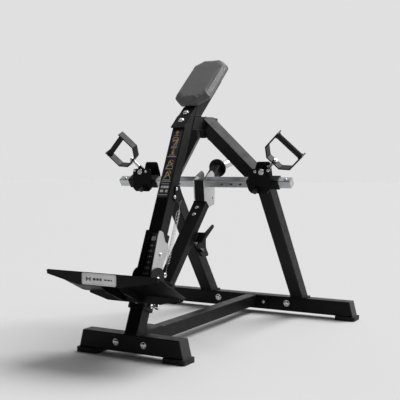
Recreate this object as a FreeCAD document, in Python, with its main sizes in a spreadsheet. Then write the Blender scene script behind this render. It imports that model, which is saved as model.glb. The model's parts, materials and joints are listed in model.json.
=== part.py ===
import FreeCAD, Part
import math
import os
import Sketcher
from FreeCAD import Placement, Rotation, Vector

# Chest supported row machine, plate loaded.
# Millimetres. +X is the user's right, +Y points from the footplate to the rear feet, +Z is up.
# The origin lies on the floor under the middle of the machine.  Inside this file places are first
# given from the front face of the front base bar ("bench" places) and then moved by origin_setback.

DIMENSIONS = {
    "origin_setback": 631.2,
    # square tubes
    "frame_tube": 75, "leg_tube": 80, "beam_tube": 70, "bar_tube": 45, "tube_wall": 4,
    "tube_corner": 5, "bar_wall": 3.5, "bar_corner": 4,
    "lever_width": 80, "lever_depth": 50,
    # base bars: tubes 80 deep and 90 high on 25 mm rubber feet
    "base_depth": 80, "base_height": 90, "foot_height": 25, "foot_length": 125, "foot_overhang": 12.6,
    "front_half_length": 306, "rear_half_length": 676, "end_slant": 22, "cap_thickness": 6,
    "rear_bar_front": 1405,
    # angles from the vertical, and of the pad above the horizontal
    "mast_lean": 24.5, "leg_lean": 36.15, "pad_rise": 41, "lever_lean": 43.9, "bar_turn": 33.7,
    # plates and sheet metal
    "thick_plate": 8, "plate": 6, "sheet_metal": 5,
    # chest pad and its board
    "pad_half_length": 201, "pad_half_width": 112, "pad_end_half_width": 56, "pad_thickness": 44,
    "pad_bevel": 20, "board_thickness": 12,
    # shafts and fasteners
    "shaft_radius": 15, "hub_radius": 30, "running_gap": 0.05, "bolt_radius": 6, "bolt_gap": 0.5,
    "pin_radius": 6, "horn_radius": 25, "stop_radius": 54, "swivel_radius": 8,
    # crossbar and handles
    "bar_half_length": 549, "carriage_inner": 295, "carriage_outer": 480, "hole_pitch": 57,
    "grip_radius": 16, "strap_width": 45, "strap_thickness": 8,
    "left_handle_rise": 46, "right_handle_rise": 39, "handle_lean": 17, "handle_spin": 18,
    # counterbalance spring
    "spring_radius": 11, "spring_length": 300,
}

document = FreeCAD.newDocument("row_machine")
sheet = document.addObject("Spreadsheet::Sheet", "dimensions")
for row, (alias, value) in enumerate(DIMENSIONS.items(), start=1):
    sheet.set(f"A{row}", alias)
    sheet.set(f"B{row}", str(value))
    sheet.setAlias(f"B{row}", alias)
document.recompute()

nodes = {}


def dim(alias):
    """The value of one cell of the sheet."""
    return float(sheet.get(alias))


def cell(alias):
    """The same cell as an expression."""
    return f"dimensions.{alias}"


def bench(x, y, z):
    """A place given from the front face of the front bar."""
    return Vector(x, y - dim("origin_setback"), z)


def facing(place, along, across):
    """A placement at a place, with local Z along one direction and local X close to another."""
    return Placement(place, Rotation(Vector(across), Vector(0, 0, 0), Vector(along), "ZXY"))


def keep(name, thing):
    """Register a finished sub-part under its own label."""
    thing.Label = name
    nodes[name] = thing
    return thing


# ---------------------------------------------------------------- sketches and features

def new_body(name):
    return document.addObject("PartDesign::Body", name)


def new_sketch(body, name, plane):
    sketch = body.newObject("Sketcher::SketchObject", name)
    origin_plane = [f for f in body.Origin.OriginFeatures if f.Role == plane][0]
    sketch.AttachmentSupport = [(origin_plane, "")]
    sketch.MapMode = "FlatFace"
    return sketch


def draw_rectangle(sketch, width, depth):
    """A centred rectangle whose two sizes are expressions."""
    first = sketch.GeometryCount
    corners = [(-10, -10), (10, -10), (10, 10), (-10, 10)]
    for index in range(4):
        start = Vector(*corners[index], 0)
        end = Vector(*corners[(index + 1) % 4], 0)
        sketch.addGeometry(Part.LineSegment(start, end), False)
    for index in range(4):
        sketch.addConstraint(Sketcher.Constraint(
            "Coincident", first + index, 2, first + (index + 1) % 4, 1))
    for index, direction in enumerate(["Horizontal", "Vertical", "Horizontal", "Vertical"]):
        sketch.addConstraint(Sketcher.Constraint(direction, first + index))
    sketch.addConstraint(Sketcher.Constraint("Symmetric", first, 1, first + 2, 1, -1, 1))
    across = sketch.addConstraint(Sketcher.Constraint("DistanceX", first, 1, first, 2, 20))
    upward = sketch.addConstraint(Sketcher.Constraint("DistanceY", first + 1, 1, first + 1, 2, 20))
    sketch.setExpression(f"Constraints[{across}]", width)
    sketch.setExpression(f"Constraints[{upward}]", depth)


def draw_outline(sketch, points):
    """A closed outline; a point given as (x, y, radius) becomes a tangent arc."""
    lines = []
    arcs = []
    count = len(points)
    for index, point in enumerate(points):
        here = Vector(point[0], point[1], 0)
        radius = point[2] if len(point) > 2 else 0
        back = Vector(points[index - 1][0], points[index - 1][1], 0) - here
        ahead = Vector(points[(index + 1) % count][0], points[(index + 1) % count][1], 0) - here
        back.normalize()
        ahead.normalize()
        if radius == 0:
            lines.append((here, here))
            continue
        half = back.getAngle(ahead) / 2
        setback = radius / math.tan(half)
        start = here + back * setback
        end = here + ahead * setback
        middle_way = (back + ahead).normalize()
        middle = here + middle_way * (radius / math.sin(half) - radius)
        arcs.append(Part.Arc(start, middle, end))
        lines.append((start, end))
    for index in range(count):
        start = lines[index][1]
        end = lines[(index + 1) % count][0]
        if start.distanceToPoint(end) > 0.001:
            sketch.addGeometry(Part.LineSegment(start, end), False)
    for arc in arcs:
        sketch.addGeometry(arc, False)


def pad(body, sketch, length):
    feature = body.newObject("PartDesign::Pad", body.Name + "_pad")
    feature.Profile = sketch
    feature.setExpression("Length", length)
    sketch.Visibility = False
    document.recompute()
    return feature


def round_long_edges(body, feature, radius, reach):
    """Fillet the edges that run along local Z and lie further out than reach."""
    names = []
    for index, edge in enumerate(feature.Shape.Edges, start=1):
        ends = [vertex.Point for vertex in edge.Vertexes]
        if len(ends) == 2 and abs(ends[0].z - ends[1].z) > 0.9 * edge.Length:
            if max(abs(ends[0].x), abs(ends[0].y)) > reach:
                names.append(f"Edge{index}")
    fillet = body.newObject("PartDesign::Fillet", body.Name + "_corners")
    fillet.Base = (feature, names)
    fillet.setExpression("Radius", radius)
    body.Tip = fillet


def tube(name, width, depth, wall, corner, start, along, across, length):
    """A hollow rectangular tube that starts at a place and runs along a direction."""
    body = new_body(name)
    section = new_sketch(body, name + "_section", "XY_Plane")
    draw_rectangle(section, cell(width), cell(depth))
    if wall:
        draw_rectangle(section, f"{cell(width)} - 2 * {cell(wall)}", f"{cell(depth)} - 2 * {cell(wall)}")
    run = pad(body, section, f"{length} mm")
    round_long_edges(body, run, cell(corner), min(dim(width), dim(depth)) / 2 - 0.5)
    body.Placement = facing(start, along, across)
    return body


def plate(name, points, thickness, place, along=(1, 0, 0), across=(0, 1, 0)):
    """A flat plate: an outline drawn across a direction and padded along it."""
    body = new_body(name)
    outline = new_sketch(body, name + "_outline", "XY_Plane")
    draw_outline(outline, points)
    pad(body, outline, cell(thickness) if thickness in DIMENSIONS else thickness)
    body.Placement = facing(place, along, across)
    return body


def side_plate(name, points, thickness, x):
    """A plate parallel to the machine's middle plane, its outline in bench (y, z)."""
    return plate(name, points, thickness, bench(x, 0, 0))


def turned(name, points, place, along, across=None):
    """A turned piece: a half profile of (radius, height) turned about local Z."""
    body = new_body(name)
    profile = new_sketch(body, name + "_profile", "XZ_Plane")
    draw_outline(profile, points)
    feature = body.newObject("PartDesign::Revolution", name + "_turn")
    feature.Profile = profile
    feature.ReferenceAxis = (profile, ["V_Axis"])
    feature.Angle = 360
    direction = Vector(along)
    side = Vector(across) if across else Vector(direction.z, direction.x, direction.y)
    body.Placement = facing(place, direction, side)
    return body


def rod(name, radius, length, place, along):
    """A plain round bar."""
    bar = document.addObject("Part::Cylinder", name)
    bar.setExpression("Radius", radius)
    bar.Height = length
    direction = Vector(along)
    bar.Placement = facing(place, direction, Vector(direction.z, direction.x, direction.y))
    return bar


def ring(name, inner, outer, length, place, along):
    """A round tube, sizes as plain lengths."""
    return turned(name, [(inner, 0), (outer, 0), (outer, length), (inner, length)], place, along)


def cut(name, base, *tools):
    """Take one or more tools away from a base."""
    result = base
    for index, tool in enumerate(tools):
        trimmed = document.addObject("Part::Cut", f"{name}_cut_{index}")
        trimmed.Base = result
        trimmed.Tool = tool
        result = trimmed
    return result


def fuse(name, *pieces):
    joined = document.addObject("Part::MultiFuse", name + "_weldment")
    joined.Shapes = list(pieces)
    return joined


def group(name, pieces):
    """Several like pieces that stay separate solids."""
    together = document.addObject("Part::Compound", name + "_set")
    together.Links = list(pieces)
    return together


trim_reach = 3000.0


def half_space(name, place, normal):
    """A block whose lower face lies at a place and which fills the side the normal points to."""
    block = document.addObject("Part::Box", name)
    block.Length = block.Width = 2 * trim_reach
    block.Height = trim_reach
    direction = Vector(normal)
    turn = facing(place, direction, Vector(direction.z, direction.x, direction.y)).Rotation
    corner = turn.multVec(Vector(-trim_reach, -trim_reach, 0))
    block.Placement = Placement(place + corner, turn)
    return block


def trim(name, base, *planes):
    """Trim a piece by planes, each a place and the normal of the side that goes."""
    tools = [half_space(f"{name}_side_{i}", place, normal) for i, (place, normal) in enumerate(planes)]
    return cut(name, base, *tools)


def dome_bolt(name, place, along, grip, radius=None):
    """A dome head bolt; local Z points out of the head, the shank reaches back by the grip."""
    shank = radius or dim("bolt_radius")
    head = 1.75 * shank
    washer = 2.1 * shank
    points = [(0, -grip), (shank, -grip), (shank, 0), (washer, 0), (washer, 0.3 * shank),
              (head, 0.3 * shank), (head, 1.3 * shank, shank * 0.9), (0, 1.3 * shank)]
    bolt = turned(name, points, place, along)
    socket = plate(name + "_socket", hexagon(0.75 * shank), f"{shank} mm",
                   place + Vector(along) * (0.7 * shank), along, Vector(along[2], along[0], along[1]))
    return cut(name + "_socketed", bolt, socket)


def hexagon(corner):
    """A regular hexagon with its corners at a distance from the middle."""
    return [(corner * math.cos(math.radians(60 * k)), corner * math.sin(math.radians(60 * k)))
            for k in range(6)]


def hex_nut(name, place, along, radius=None):
    """A hexagon nut on a shank that ends inside it."""
    shank = radius or dim("bolt_radius")
    nut = plate(name, hexagon(1.9 * shank), f"{1.6 * shank} mm", place, along,
                Vector(along[2], along[0], along[1]))
    bore = rod(name + "_bore", f"{shank + 0.2} mm", 5 * shank, place - Vector(along) * shank, along)
    return cut(name, nut, bore)


def clearance(name, place, along, length, radius=None):
    """The tool for a bolt hole, centred on a place."""
    hole = (radius or dim("bolt_radius")) + dim("bolt_gap")
    return rod(name, f"{hole} mm", length, place - Vector(along) * (length / 2), along)


# ---------------------------------------------------------------- directions and key places

def slope(angle):
    """Rearward and upward parts of a direction that leans back from the vertical."""
    return math.sin(math.radians(angle)), math.cos(math.radians(angle))


lean_y, lean_z = slope(dim("mast_lean"))
mast_up = Vector(0, lean_y, lean_z)
mast_front = Vector(0, -lean_z, lean_y)
rise_z, rise_y = slope(dim("pad_rise"))
pad_up = Vector(0, rise_y, rise_z)
pad_out = Vector(0, -rise_z, rise_y)
lever_y, lever_z = slope(dim("lever_lean"))
lever_up = Vector(0, lever_y, lever_z)
lever_front = Vector(0, -lever_z, lever_y)
leg_y, leg_z = slope(dim("leg_lean"))
leg_up = Vector(0, -leg_y, leg_z)
leg_front = Vector(0, -leg_z, -leg_y)
side_right = Vector(1, 0, 0)
rearward = Vector(0, 1, 0)
upward = Vector(0, 0, 1)

frame_half = dim("frame_tube") / 2
leg_half = dim("leg_tube") / 2
base_top = dim("foot_height") + dim("base_height")
base_middle = dim("foot_height") + dim("base_height") / 2
rear_front = dim("rear_bar_front")
rear_back = rear_front + dim("base_depth")

mast_foot = bench(0, 46, base_top)
mast_rear = mast_foot - mast_front * frame_half
head_start = bench(0, 466, 1147)
pad_root = bench(0, 611, 1273)
beam_top = 1218.0
beam_end = 850.0
pivot = bench(0, 327.7, 308.9)
bar_centre = bench(0, 735.8, 853.1)


def on_mast(rise, out=0.0, x=0.0):
    """A place at a distance up the mast's middle line and out of its front face."""
    return mast_foot + mast_up * rise + mast_front * (frame_half + out) + side_right * x


def on_pad(along, out, x=0.0):
    """A place along the pad line and out from the pad tube's top face."""
    return pad_root + pad_up * along + pad_out * out + side_right * x


# ---------------------------------------------------------------- base

def base_bar(name, middle_y, half_length):
    """A base bar with slanted ends, its end caps and its two rubber feet."""
    slant = math.atan2(dim("end_slant"), dim("base_height"))
    cap = dim("cap_thickness") / math.cos(slant)
    stock = tube(name + "_stock", "base_height", "base_depth", "tube_wall", "tube_corner",
                 bench(-half_length, middle_y, base_middle), side_right, upward, 2 * half_length)
    planes = []
    caps = []
    feet = []
    for side in (-1, 1):
        normal = Vector(side * math.cos(slant), 0, math.sin(slant))
        inner = bench(side * (half_length - cap), middle_y, dim("foot_height"))
        outer = bench(side * half_length, middle_y, dim("foot_height"))
        planes.append((inner, normal))
        blank = tube(f"{name}_cap_{side + 1}", "base_height", "base_depth", None, "tube_corner",
                     bench(side * half_length - 40, middle_y, base_middle), side_right, upward, 80)
        caps.append(trim(f"{name}_cap_{side + 1}", blank, (inner, -normal), (outer, normal)))
        feet.append(rubber_foot(f"{name}_foot_{side + 1}", side, middle_y, half_length))
    return trim(name, stock, *planes), caps, feet


def rubber_foot(name, side, middle_y, half_length):
    """A rubber block under a bar's end, with rounded corners and a bevelled top edge."""
    body = new_body(name)
    outline = new_sketch(body, name + "_outline", "XY_Plane")
    width = dim("base_depth") + 2 * dim("foot_overhang")
    draw_rectangle(outline, cell("foot_length"), f"{cell('base_depth')} + 2 * {cell('foot_overhang')}")
    block = pad(body, outline, cell("foot_height"))
    round_long_edges(body, block, "10 mm", width / 2 - 1)
    middle = side * (half_length + dim("foot_overhang") - dim("foot_length") / 2)
    body.Placement = Placement(bench(middle, middle_y, 0), Rotation())
    return body


front_middle = dim("base_depth") / 2
rear_middle = rear_front + front_middle
front_bar, front_caps, front_feet = base_bar("front_base_bar", front_middle, dim("front_half_length"))
rear_bar, rear_caps, rear_feet = base_bar("rear_base_bar", rear_middle, dim("rear_half_length"))
keep("base_end_caps", group("base_end_caps", front_caps + rear_caps))
keep("rubber_feet", group("rubber_feet", front_feet + rear_feet))

front_bolt_radius, leg_bolt_radius, flange_bolt_radius = 8.0, 9.5, 5.5
flange_depth = dim("thick_plate")
through = dim("base_depth") + flange_depth + 14
frame_bolts = []
frame_nuts = []
front_tools = []
rear_tools = []
flange_tools = []
for side in (-1, 1):
    place = bench(side * 82, 0, 71.5)
    frame_bolts.append(dome_bolt(f"front_bolt_{side + 1}", place, -rearward, through, front_bolt_radius))
    frame_nuts.append(hex_nut(f"front_nut_{side + 1}", place + rearward * (dim("base_depth") + flange_depth),
                              rearward, front_bolt_radius))
    hole = clearance(f"front_hole_{side + 1}", place, rearward, 300, front_bolt_radius)
    front_tools.append(hole)
    flange_tools.append(hole)
    for name, x, z, radius in (("leg", 243, 75, leg_bolt_radius), ("flange", 85, 73, flange_bolt_radius)):
        place = bench(side * x, rear_front - (flange_depth if name == "flange" else 0), z)
        reach = dim("base_depth") + 14 + (flange_depth if name == "flange" else 0)
        frame_bolts.append(dome_bolt(f"rear_{name}_bolt_{side + 1}", place, -rearward, reach, radius))
        frame_nuts.append(hex_nut(f"rear_{name}_nut_{side + 1}", bench(side * x, rear_back, z),
                                  rearward, radius))
        hole = clearance(f"rear_{name}_hole_{side + 1}", place, rearward, 300, radius)
        rear_tools.append(hole)
        if name == "flange":
            flange_tools.append(hole)
keep("front_base_bar", cut("front_bar_drilled", front_bar, *front_tools))
keep("rear_base_bar", cut("rear_bar_drilled", rear_bar, *rear_tools))

beam_start = dim("base_depth") + flange_depth
beam_length = rear_front - flange_depth - beam_start
beam_height = dim("beam_tube")
keep("centre_beam", tube("centre_beam", "beam_tube", "beam_tube", "tube_wall", "tube_corner",
                         bench(0, beam_start, base_top - beam_height / 2), rearward, side_right,
                         beam_length))


def flange(name, y):
    """An end flange of the centre beam, a plate across the machine."""
    half_width, low, high = 112, 32, base_top - 4
    outline = [(-half_width, low, 8), (half_width, low, 8), (half_width, high, 8), (-half_width, high, 8)]
    blank = new_body(name)
    sketch = new_sketch(blank, name + "_outline", "XZ_Plane")
    draw_outline(sketch, outline)
    pad(blank, sketch, cell("thick_plate"))
    blank.Placement = Placement(bench(0, y + flange_depth, 0), Rotation())
    return cut(name + "_drilled", blank, *flange_tools)


# ---------------------------------------------------------------- mast, top beam and pad tube

mast_stock = tube("mast_stock", "frame_tube", "frame_tube", "tube_wall", "tube_corner",
                  mast_foot - mast_up * 60, mast_up, side_right, 1400)
index_pitch = 30.0
index_low = 143.0
index_holes = []
for step in range(6):
    place = on_mast(index_low + index_pitch * step, -frame_half, frame_half)
    index_holes.append(rod(f"index_hole_{step}", "6.6 mm", 12, place - side_right * 6, side_right))
head_spots = [58.0, 126.0]
head_tools = []
for number, along in enumerate(head_spots):
    place = head_start + pad_up * along + pad_out * dim("plate")
    frame_bolts.append(dome_bolt(f"head_bolt_{number}", place, pad_out, 26, 8.0))
    head_tools.append(clearance(f"head_hole_{number}", place, pad_out, 80, 8.0))
mast_trimmed = trim("mast_trim", mast_stock, (bench(0, 0, base_top), -upward), (pad_root, pad_out))
bracket_spots = [(410, 827), (394, 785)]
bracket_tools = []
for number, (y, z) in enumerate(bracket_spots):
    rise = (z - base_top) / lean_z
    place = mast_foot + mast_up * rise - mast_front * 12 + side_right * (frame_half + dim("plate"))
    frame_bolts.append(dome_bolt(f"bracket_bolt_{number}", place, side_right, 22, 4.5))
    bracket_tools.append(clearance(f"bracket_hole_{number}", place, side_right, 60, 4.5))
keep("mast", cut("mast_drilled", mast_trimmed, group("index_holes", index_holes), *bracket_tools))

wide, narrow, wide_length, head_length = 42.5, 37.5, 95.0, 180.0
head_outline = [(0, -wide, 4), (wide_length, -wide, 12), (wide_length + 14, -narrow, 12),
                (head_length, -narrow), (head_length, narrow), (wide_length + 14, narrow, 12),
                (wide_length, wide, 12), (0, wide, 4)]
keep("mast_head_plate", cut("head_plate_drilled",
                            plate("head_plate", head_outline, "plate", head_start, pad_out, pad_up),
                            *head_tools))

top_stock = tube("top_stock", "frame_tube", "frame_tube", "tube_wall", "tube_corner",
                 bench(0, 480, beam_top - frame_half), rearward, side_right, beam_end - 480)
keep("top_beam", trim("top_beam", top_stock, (mast_rear, mast_front)))
setback = dim("origin_setback")
gusset_top = beam_top - dim("frame_tube")
gusset_drop, gusset_run, gusset_gap = 74.0, 62.0, 0.1


def behind_mast(z):
    """The mast's rear face at a height, as a bench place."""
    return mast_rear.y + (z - mast_rear.z) * lean_y / lean_z + gusset_gap + setback


gusset_outline = [(behind_mast(gusset_top - gusset_drop), gusset_top - gusset_drop),
                  (behind_mast(gusset_top), gusset_top),
                  (behind_mast(gusset_top) + gusset_run, gusset_top)]
keep("top_beam_gusset", side_plate("top_beam_gusset", gusset_outline, "plate", -3))

pad_stock = tube("pad_stock", "frame_tube", "frame_tube", "tube_wall", "tube_corner",
                 on_pad(-160, -frame_half), pad_up, side_right, 480)
keep("pad_tube", trim("pad_tube", pad_stock, (mast_rear, mast_front), (bench(0, 0, beam_top), -upward)))


def plug(name, place, along, size, thickness):
    """A plastic end plug with a rounded rim, flush on the tube's end."""
    half = size / 2
    square = [(-half, -half, 5), (half, -half, 5), (half, half, 5), (-half, half, 5)]
    return plate(name, square, f"{thickness} mm", place, along, side_right)


beam_plug = plug("beam_plug", bench(0, beam_end, beam_top - frame_half), rearward, dim("frame_tube"), 6)
pad_plug = plug("pad_plug", on_pad(320, -frame_half), pad_up, dim("frame_tube"), 6)
keep("tube_end_caps", group("tube_end_caps", [beam_plug, pad_plug]))

# ---------------------------------------------------------------- chest pad

pad_middle = 186.0
screw_spots = [(80.0, -50.0), (80.0, 50.0), (290.0, -50.0), (290.0, 50.0)]


def octagon(half_length, half_width, end_half):
    """A long octagon with 45 degree corners."""
    shoulder = half_length - (half_width - end_half)
    return [(-half_length, -end_half), (-shoulder, -half_width), (shoulder, -half_width),
            (half_length, -end_half), (half_length, end_half), (shoulder, half_width),
            (-shoulder, half_width), (-half_length, end_half)]


mount_outline = [(-150, -62, 12), (150, -62, 12), (150, 62, 12), (-150, 62, 12)]
mount_blank = plate("mount_blank", mount_outline, "plate", on_pad(pad_middle - 1, 0), pad_out, pad_up)
inset = 6.0
board_outline = octagon(dim("pad_half_length") - inset, dim("pad_half_width") - inset,
                        dim("pad_end_half_width") - inset * 0.41)
board_blank = plate("board_blank", board_outline, "board_thickness", on_pad(pad_middle, dim("plate")),
                    pad_out, pad_up)
pad_screws = []
mount_tools = []
board_tools = []
for number, (along, x) in enumerate(screw_spots):
    place = on_pad(along, 0, x)
    pad_screws.append(dome_bolt(f"pad_screw_{number}", place, -pad_out, 15, 4.0))
    mount_tools.append(clearance(f"mount_hole_{number}", place, pad_out, 30, 4.0))
    board_tools.append(clearance(f"board_hole_{number}", place, pad_out, 31, 4.0))
keep("pad_mount_plate", cut("pad_mount_plate", mount_blank, *mount_tools))
keep("pad_board", cut("pad_board", board_blank, *board_tools))
keep("pad_screws", group("pad_screws", pad_screws))

cushion = new_body("chest_pad")
cushion_outline = new_sketch(cushion, "cushion_outline", "XY_Plane")
draw_outline(cushion_outline, octagon(dim("pad_half_length"), dim("pad_half_width"),
                                      dim("pad_end_half_width")))
cushion_block = pad(cushion, cushion_outline, cell("pad_thickness"))
top_edges = [f"Edge{i}" for i, edge in enumerate(cushion_block.Shape.Edges, start=1)
             if min(v.Z for v in edge.Vertexes) > dim("pad_thickness") - 1]
bevel = cushion.newObject("PartDesign::Chamfer", "cushion_bevel")
bevel.Base = (cushion_block, top_edges)
bevel.setExpression("Size", cell("pad_bevel"))
cushion.Tip = bevel
cushion.Placement = facing(on_pad(pad_middle, dim("plate") + dim("board_thickness") + 0.3), pad_out, pad_up)
keep("chest_pad", cushion)

# ---------------------------------------------------------------- rear legs

knee = {side: bench(side * 321, 901.4, 836.2) for side in (-1, 1)}
shoulder_place = {side: bench(side * 40, 750, 1165) for side in (-1, 1)}
lower_legs = []
upper_legs = []
leg_plates = []
foot_plate_top = base_top + dim("thick_plate")
beam_bottom = beam_top - dim("frame_tube")
for side in (-1, 1):
    upper_way = (shoulder_place[side] - knee[side]).normalize()
    mitre = (upper_way + leg_up).normalize()
    lower_stock = tube(f"lower_leg_{side + 1}", "leg_tube", "leg_tube", "tube_wall", "tube_corner",
                       knee[side] + leg_up * 80, -leg_up, side_right, 1060)
    lower_legs.append(trim(f"lower_leg_trim_{side + 1}", lower_stock, (knee[side], mitre),
                           (bench(0, 0, foot_plate_top), -upward)))
    across = side_right - mitre * (2 * side_right.dot(mitre))
    upper_stock = tube(f"upper_leg_{side + 1}", "leg_tube", "leg_tube", "tube_wall", "tube_corner",
                       knee[side] - upper_way * 80, upper_way, across, 680)
    side_face = bench(side * frame_half, 0, 0)
    upper_legs.append(trim(f"upper_leg_trim_{side + 1}", upper_stock, (knee[side], -mitre),
                           (side_face, -side_right * side), (bench(0, 0, beam_top), upward)))
    foot_middle = rear_middle - 8
    corners = [(side * 321 - 52, foot_middle - 44, 6), (side * 321 + 52, foot_middle - 44, 6),
               (side * 321 + 52, foot_middle + 48, 6), (side * 321 - 52, foot_middle + 48, 6)]
    leg_plates.append(plate(f"leg_plate_{side + 1}", corners, "thick_plate", bench(0, 0, base_top),
                            upward, side_right))
    end_stock = tube(f"leg_end_{side + 1}", "leg_tube", "leg_tube", None, "tube_corner",
                     knee[side], upper_way, across, 600)
    inner_face = bench(side * (frame_half - dim("plate")), 0, 0)
    leg_plates.append(trim(f"leg_end_trim_{side + 1}", end_stock, (side_face, side_right * side),
                           (inner_face, -side_right * side), (bench(0, 0, beam_bottom), upward)))
keep("legs_lower", group("legs_lower", lower_legs))
keep("legs_upper", group("legs_upper", upper_legs))
keep("weld_plates", group("weld_plates", [flange("front_flange", dim("base_depth")),
                                          flange("rear_flange", rear_front - flange_depth)] + leg_plates))

# ---------------------------------------------------------------- lever pivot

# One tall cheek on the left carries the pivot, clear of the footplate that slides past it.
cheek_inner = 64.0
lever_side = dim("lever_width") / 2 + 3
cheek_low = base_top + dim("plate")
cheek_outline = [(110, cheek_low), (244, cheek_low), (361, 280, 30), (361, 340, 30), (296, 340, 30)]
bracket_base = plate("bracket_base", [(-cheek_inner - 16, 98, 6), (34, 98, 6), (34, 256, 6),
                                      (-cheek_inner - 16, 256, 6)], "plate",
                     bench(0, 0, base_top), upward, side_right)
pivot_cheek = side_plate("pivot_cheek", cheek_outline, "thick_plate", -cheek_inner - dim("thick_plate"))
cheek_rib = plate("cheek_rib", [(-cheek_inner, 0), (-20, 0), (-cheek_inner, 70)], "plate",
                  bench(0, 180, cheek_low), -rearward, side_right)
cheek_boss = rod("cheek_boss", "24 mm", cheek_inner - lever_side, pivot - side_right * cheek_inner,
                 side_right)
shaft_bore = rod("shaft_bore", f"{dim('shaft_radius') + 0.3} mm", 200, pivot - side_right * 100,
                 side_right)
keep("pivot_bracket", cut("pivot_bracket", fuse("pivot_bracket", bracket_base, pivot_cheek, cheek_rib,
                                                cheek_boss), shaft_bore))
shaft_head_radius, shaft_head_length = 21.0, 12.0
shaft_left = -cheek_inner - dim("thick_plate")
shaft_r = dim("shaft_radius")
shaft_profile = [(0, shaft_left - shaft_head_length), (shaft_head_radius, shaft_left - shaft_head_length, 3),
                 (shaft_head_radius, shaft_left), (shaft_r, shaft_left), (shaft_r, lever_side),
                 (shaft_head_radius, lever_side), (shaft_head_radius, lever_side + shaft_head_length, 3),
                 (0, lever_side + shaft_head_length)]
keep("pivot_shaft", turned("pivot_shaft", shaft_profile, pivot, side_right))

# ---------------------------------------------------------------- spring bracket and lever rest

spring_x = 44.5
spring_top = bench(spring_x, 424, 760)
bracket_outline = [(372, 838, 6), (414, 838, 6), (452, 772, 12), (440, 748, 10), (366, 756, 8)]
bracket_blank = side_plate("bracket_blank", bracket_outline, "plate", frame_half)
spring_hole = rod("spring_hole", "4 mm", 40, spring_top - side_right * 30, side_right)
keep("spring_bracket", cut("spring_bracket", bracket_blank, spring_hole, *bracket_tools))

leg_inner = 321 - leg_half
slot_outline = [(1140, 443, 10), (1244, 359, 14), (1312, 355, 16), (1319, 367, 8), (1245, 472, 20),
                (1179, 484, 10)]
slot_ends = [(1170, 444), (1202, 415)]
slot_way = Vector(0, slot_ends[1][0] - slot_ends[0][0], slot_ends[1][1] - slot_ends[0][1])
slot_length = slot_way.Length
slot_tools = [rod(f"slot_end_{i}", "8 mm", 60, bench(-leg_inner - 20, y, z), side_right)
              for i, (y, z) in enumerate(slot_ends)]
slot_box = document.addObject("Part::Box", "slot_box")
slot_box.Length, slot_box.Width, slot_box.Height = 60, 16, slot_length
slot_way.normalize()
slot_turn = Rotation(side_right, Vector(0, 0, 0), slot_way, "ZXY")
slot_start = bench(-leg_inner - 20, slot_ends[0][0], slot_ends[0][1])
slot_box.Placement = Placement(slot_start - slot_turn.multVec(Vector(0, 8, 0)), slot_turn)
rest_blank = side_plate("rest_blank", slot_outline, "thick_plate", -leg_inner)
keep("rest_plate", cut("rest_plate", rest_blank, slot_box, *slot_tools))

# The rest arm is a flat bar from the slotted plate to a cradle behind the lever.
rest_touch = pivot + lever_up * 370 - lever_front * (dim("lever_depth") / 2)
pad_gap = 12.0
arm_end = rest_touch - lever_front * (pad_gap + 5)
arm_start = bench(-leg_inner + dim("thick_plate") + 15, 1226, 404)
arm_way = (arm_end - arm_start).normalize()
arm_across = arm_way.cross(upward).normalize()
arm_length = (arm_end - arm_start).Length
arm_bar = plate("arm_bar", [(-22, -5), (arm_length + 18, -5), (arm_length + 18, 5), (-22, 5)],
                "30 mm", arm_start - arm_way.cross(arm_across) * 15, arm_way.cross(arm_across), arm_way)
cradle_back = plate("cradle_back", [(-46, -34, 6), (84, -34, 6), (84, 34, 6), (-46, 34, 6)], "sheet_metal",
                    rest_touch - lever_front * (pad_gap + 5), lever_front, side_right)
catch_outline = [(-34, -62, 8), (62, -78, 10), (60, -22, 10), (158, 38, 6), (148, 54, 6), (56, 12, 8),
                 (-40, 16, 8)]
touch_y = rest_touch.y + setback
catch = side_plate("catch", [(touch_y + y, rest_touch.z + z, r) for y, z, r in catch_outline],
                   "thick_plate", 58)
spacer = rod("arm_spacer", "14 mm", 24, bench(-leg_inner + dim("thick_plate"), 1226, 404), side_right)
keep("rest_arm", cut("rest_arm", fuse("rest_arm", arm_bar, cradle_back, catch, spacer),
                     half_space("rest_room", rest_touch - lever_front * pad_gap, lever_front)))
rest_pad = plate("rest_pad", [(-40, -28, 6), (40, -28, 6), (40, 28, 6), (-40, 28, 6)],
                 f"{pad_gap - 0.1} mm", rest_touch - lever_front * pad_gap, lever_front, side_right)

# ---------------------------------------------------------------- footplate carriage

sleeve_low, sleeve_high, window_low = 118.0, 528.0, 292.0
sleeve_size = 94.0
sleeve_half = sleeve_size / 2
sleeve_gap = sleeve_half - dim("sheet_metal") - frame_half
axis_out = -frame_half
sleeve_blank = plate("sleeve_blank", [(-sleeve_half, -sleeve_half, 6), (sleeve_half, -sleeve_half, 6),
                                      (sleeve_half, sleeve_half, 6), (-sleeve_half, sleeve_half, 6)],
                     f"{sleeve_high - sleeve_low} mm", on_mast(sleeve_low, axis_out), mast_up, side_right)
inside = sleeve_half - dim("sheet_metal")
sleeve_room = plate("sleeve_room", [(-inside, -inside), (inside, -inside), (inside, inside),
                                    (-inside, inside)],
                    "600 mm", on_mast(sleeve_low - 50, axis_out), mast_up, side_right)
window = plate("sleeve_window", [(-16, 0, 3), (30, 0, 3), (30, -80, 3), (-16, -80, 3)], "400 mm",
               on_mast(window_low, axis_out), mast_up, side_right)
pin_axis = on_mast(index_low, axis_out)
plate_bolt = bench(0, 206, 491)
ear_middle = bench(0, 170, 372)
front_bolt = on_mast(index_low + 12, 0)
sleeve_tools = [
    clearance("sleeve_pin_hole", pin_axis + side_right * sleeve_half, side_right, 30, dim("pin_radius")),
    clearance("sleeve_plate_hole", plate_bolt + side_right * sleeve_half, side_right, 30, 6.0),
    clearance("sleeve_ear_hole", ear_middle, side_right, 200, 6.0),
    clearance("sleeve_front_hole", front_bolt, mast_front, 60, 8.0),
]
keep("footplate_sleeve", cut("sleeve", sleeve_blank, sleeve_room, window, *sleeve_tools))

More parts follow.
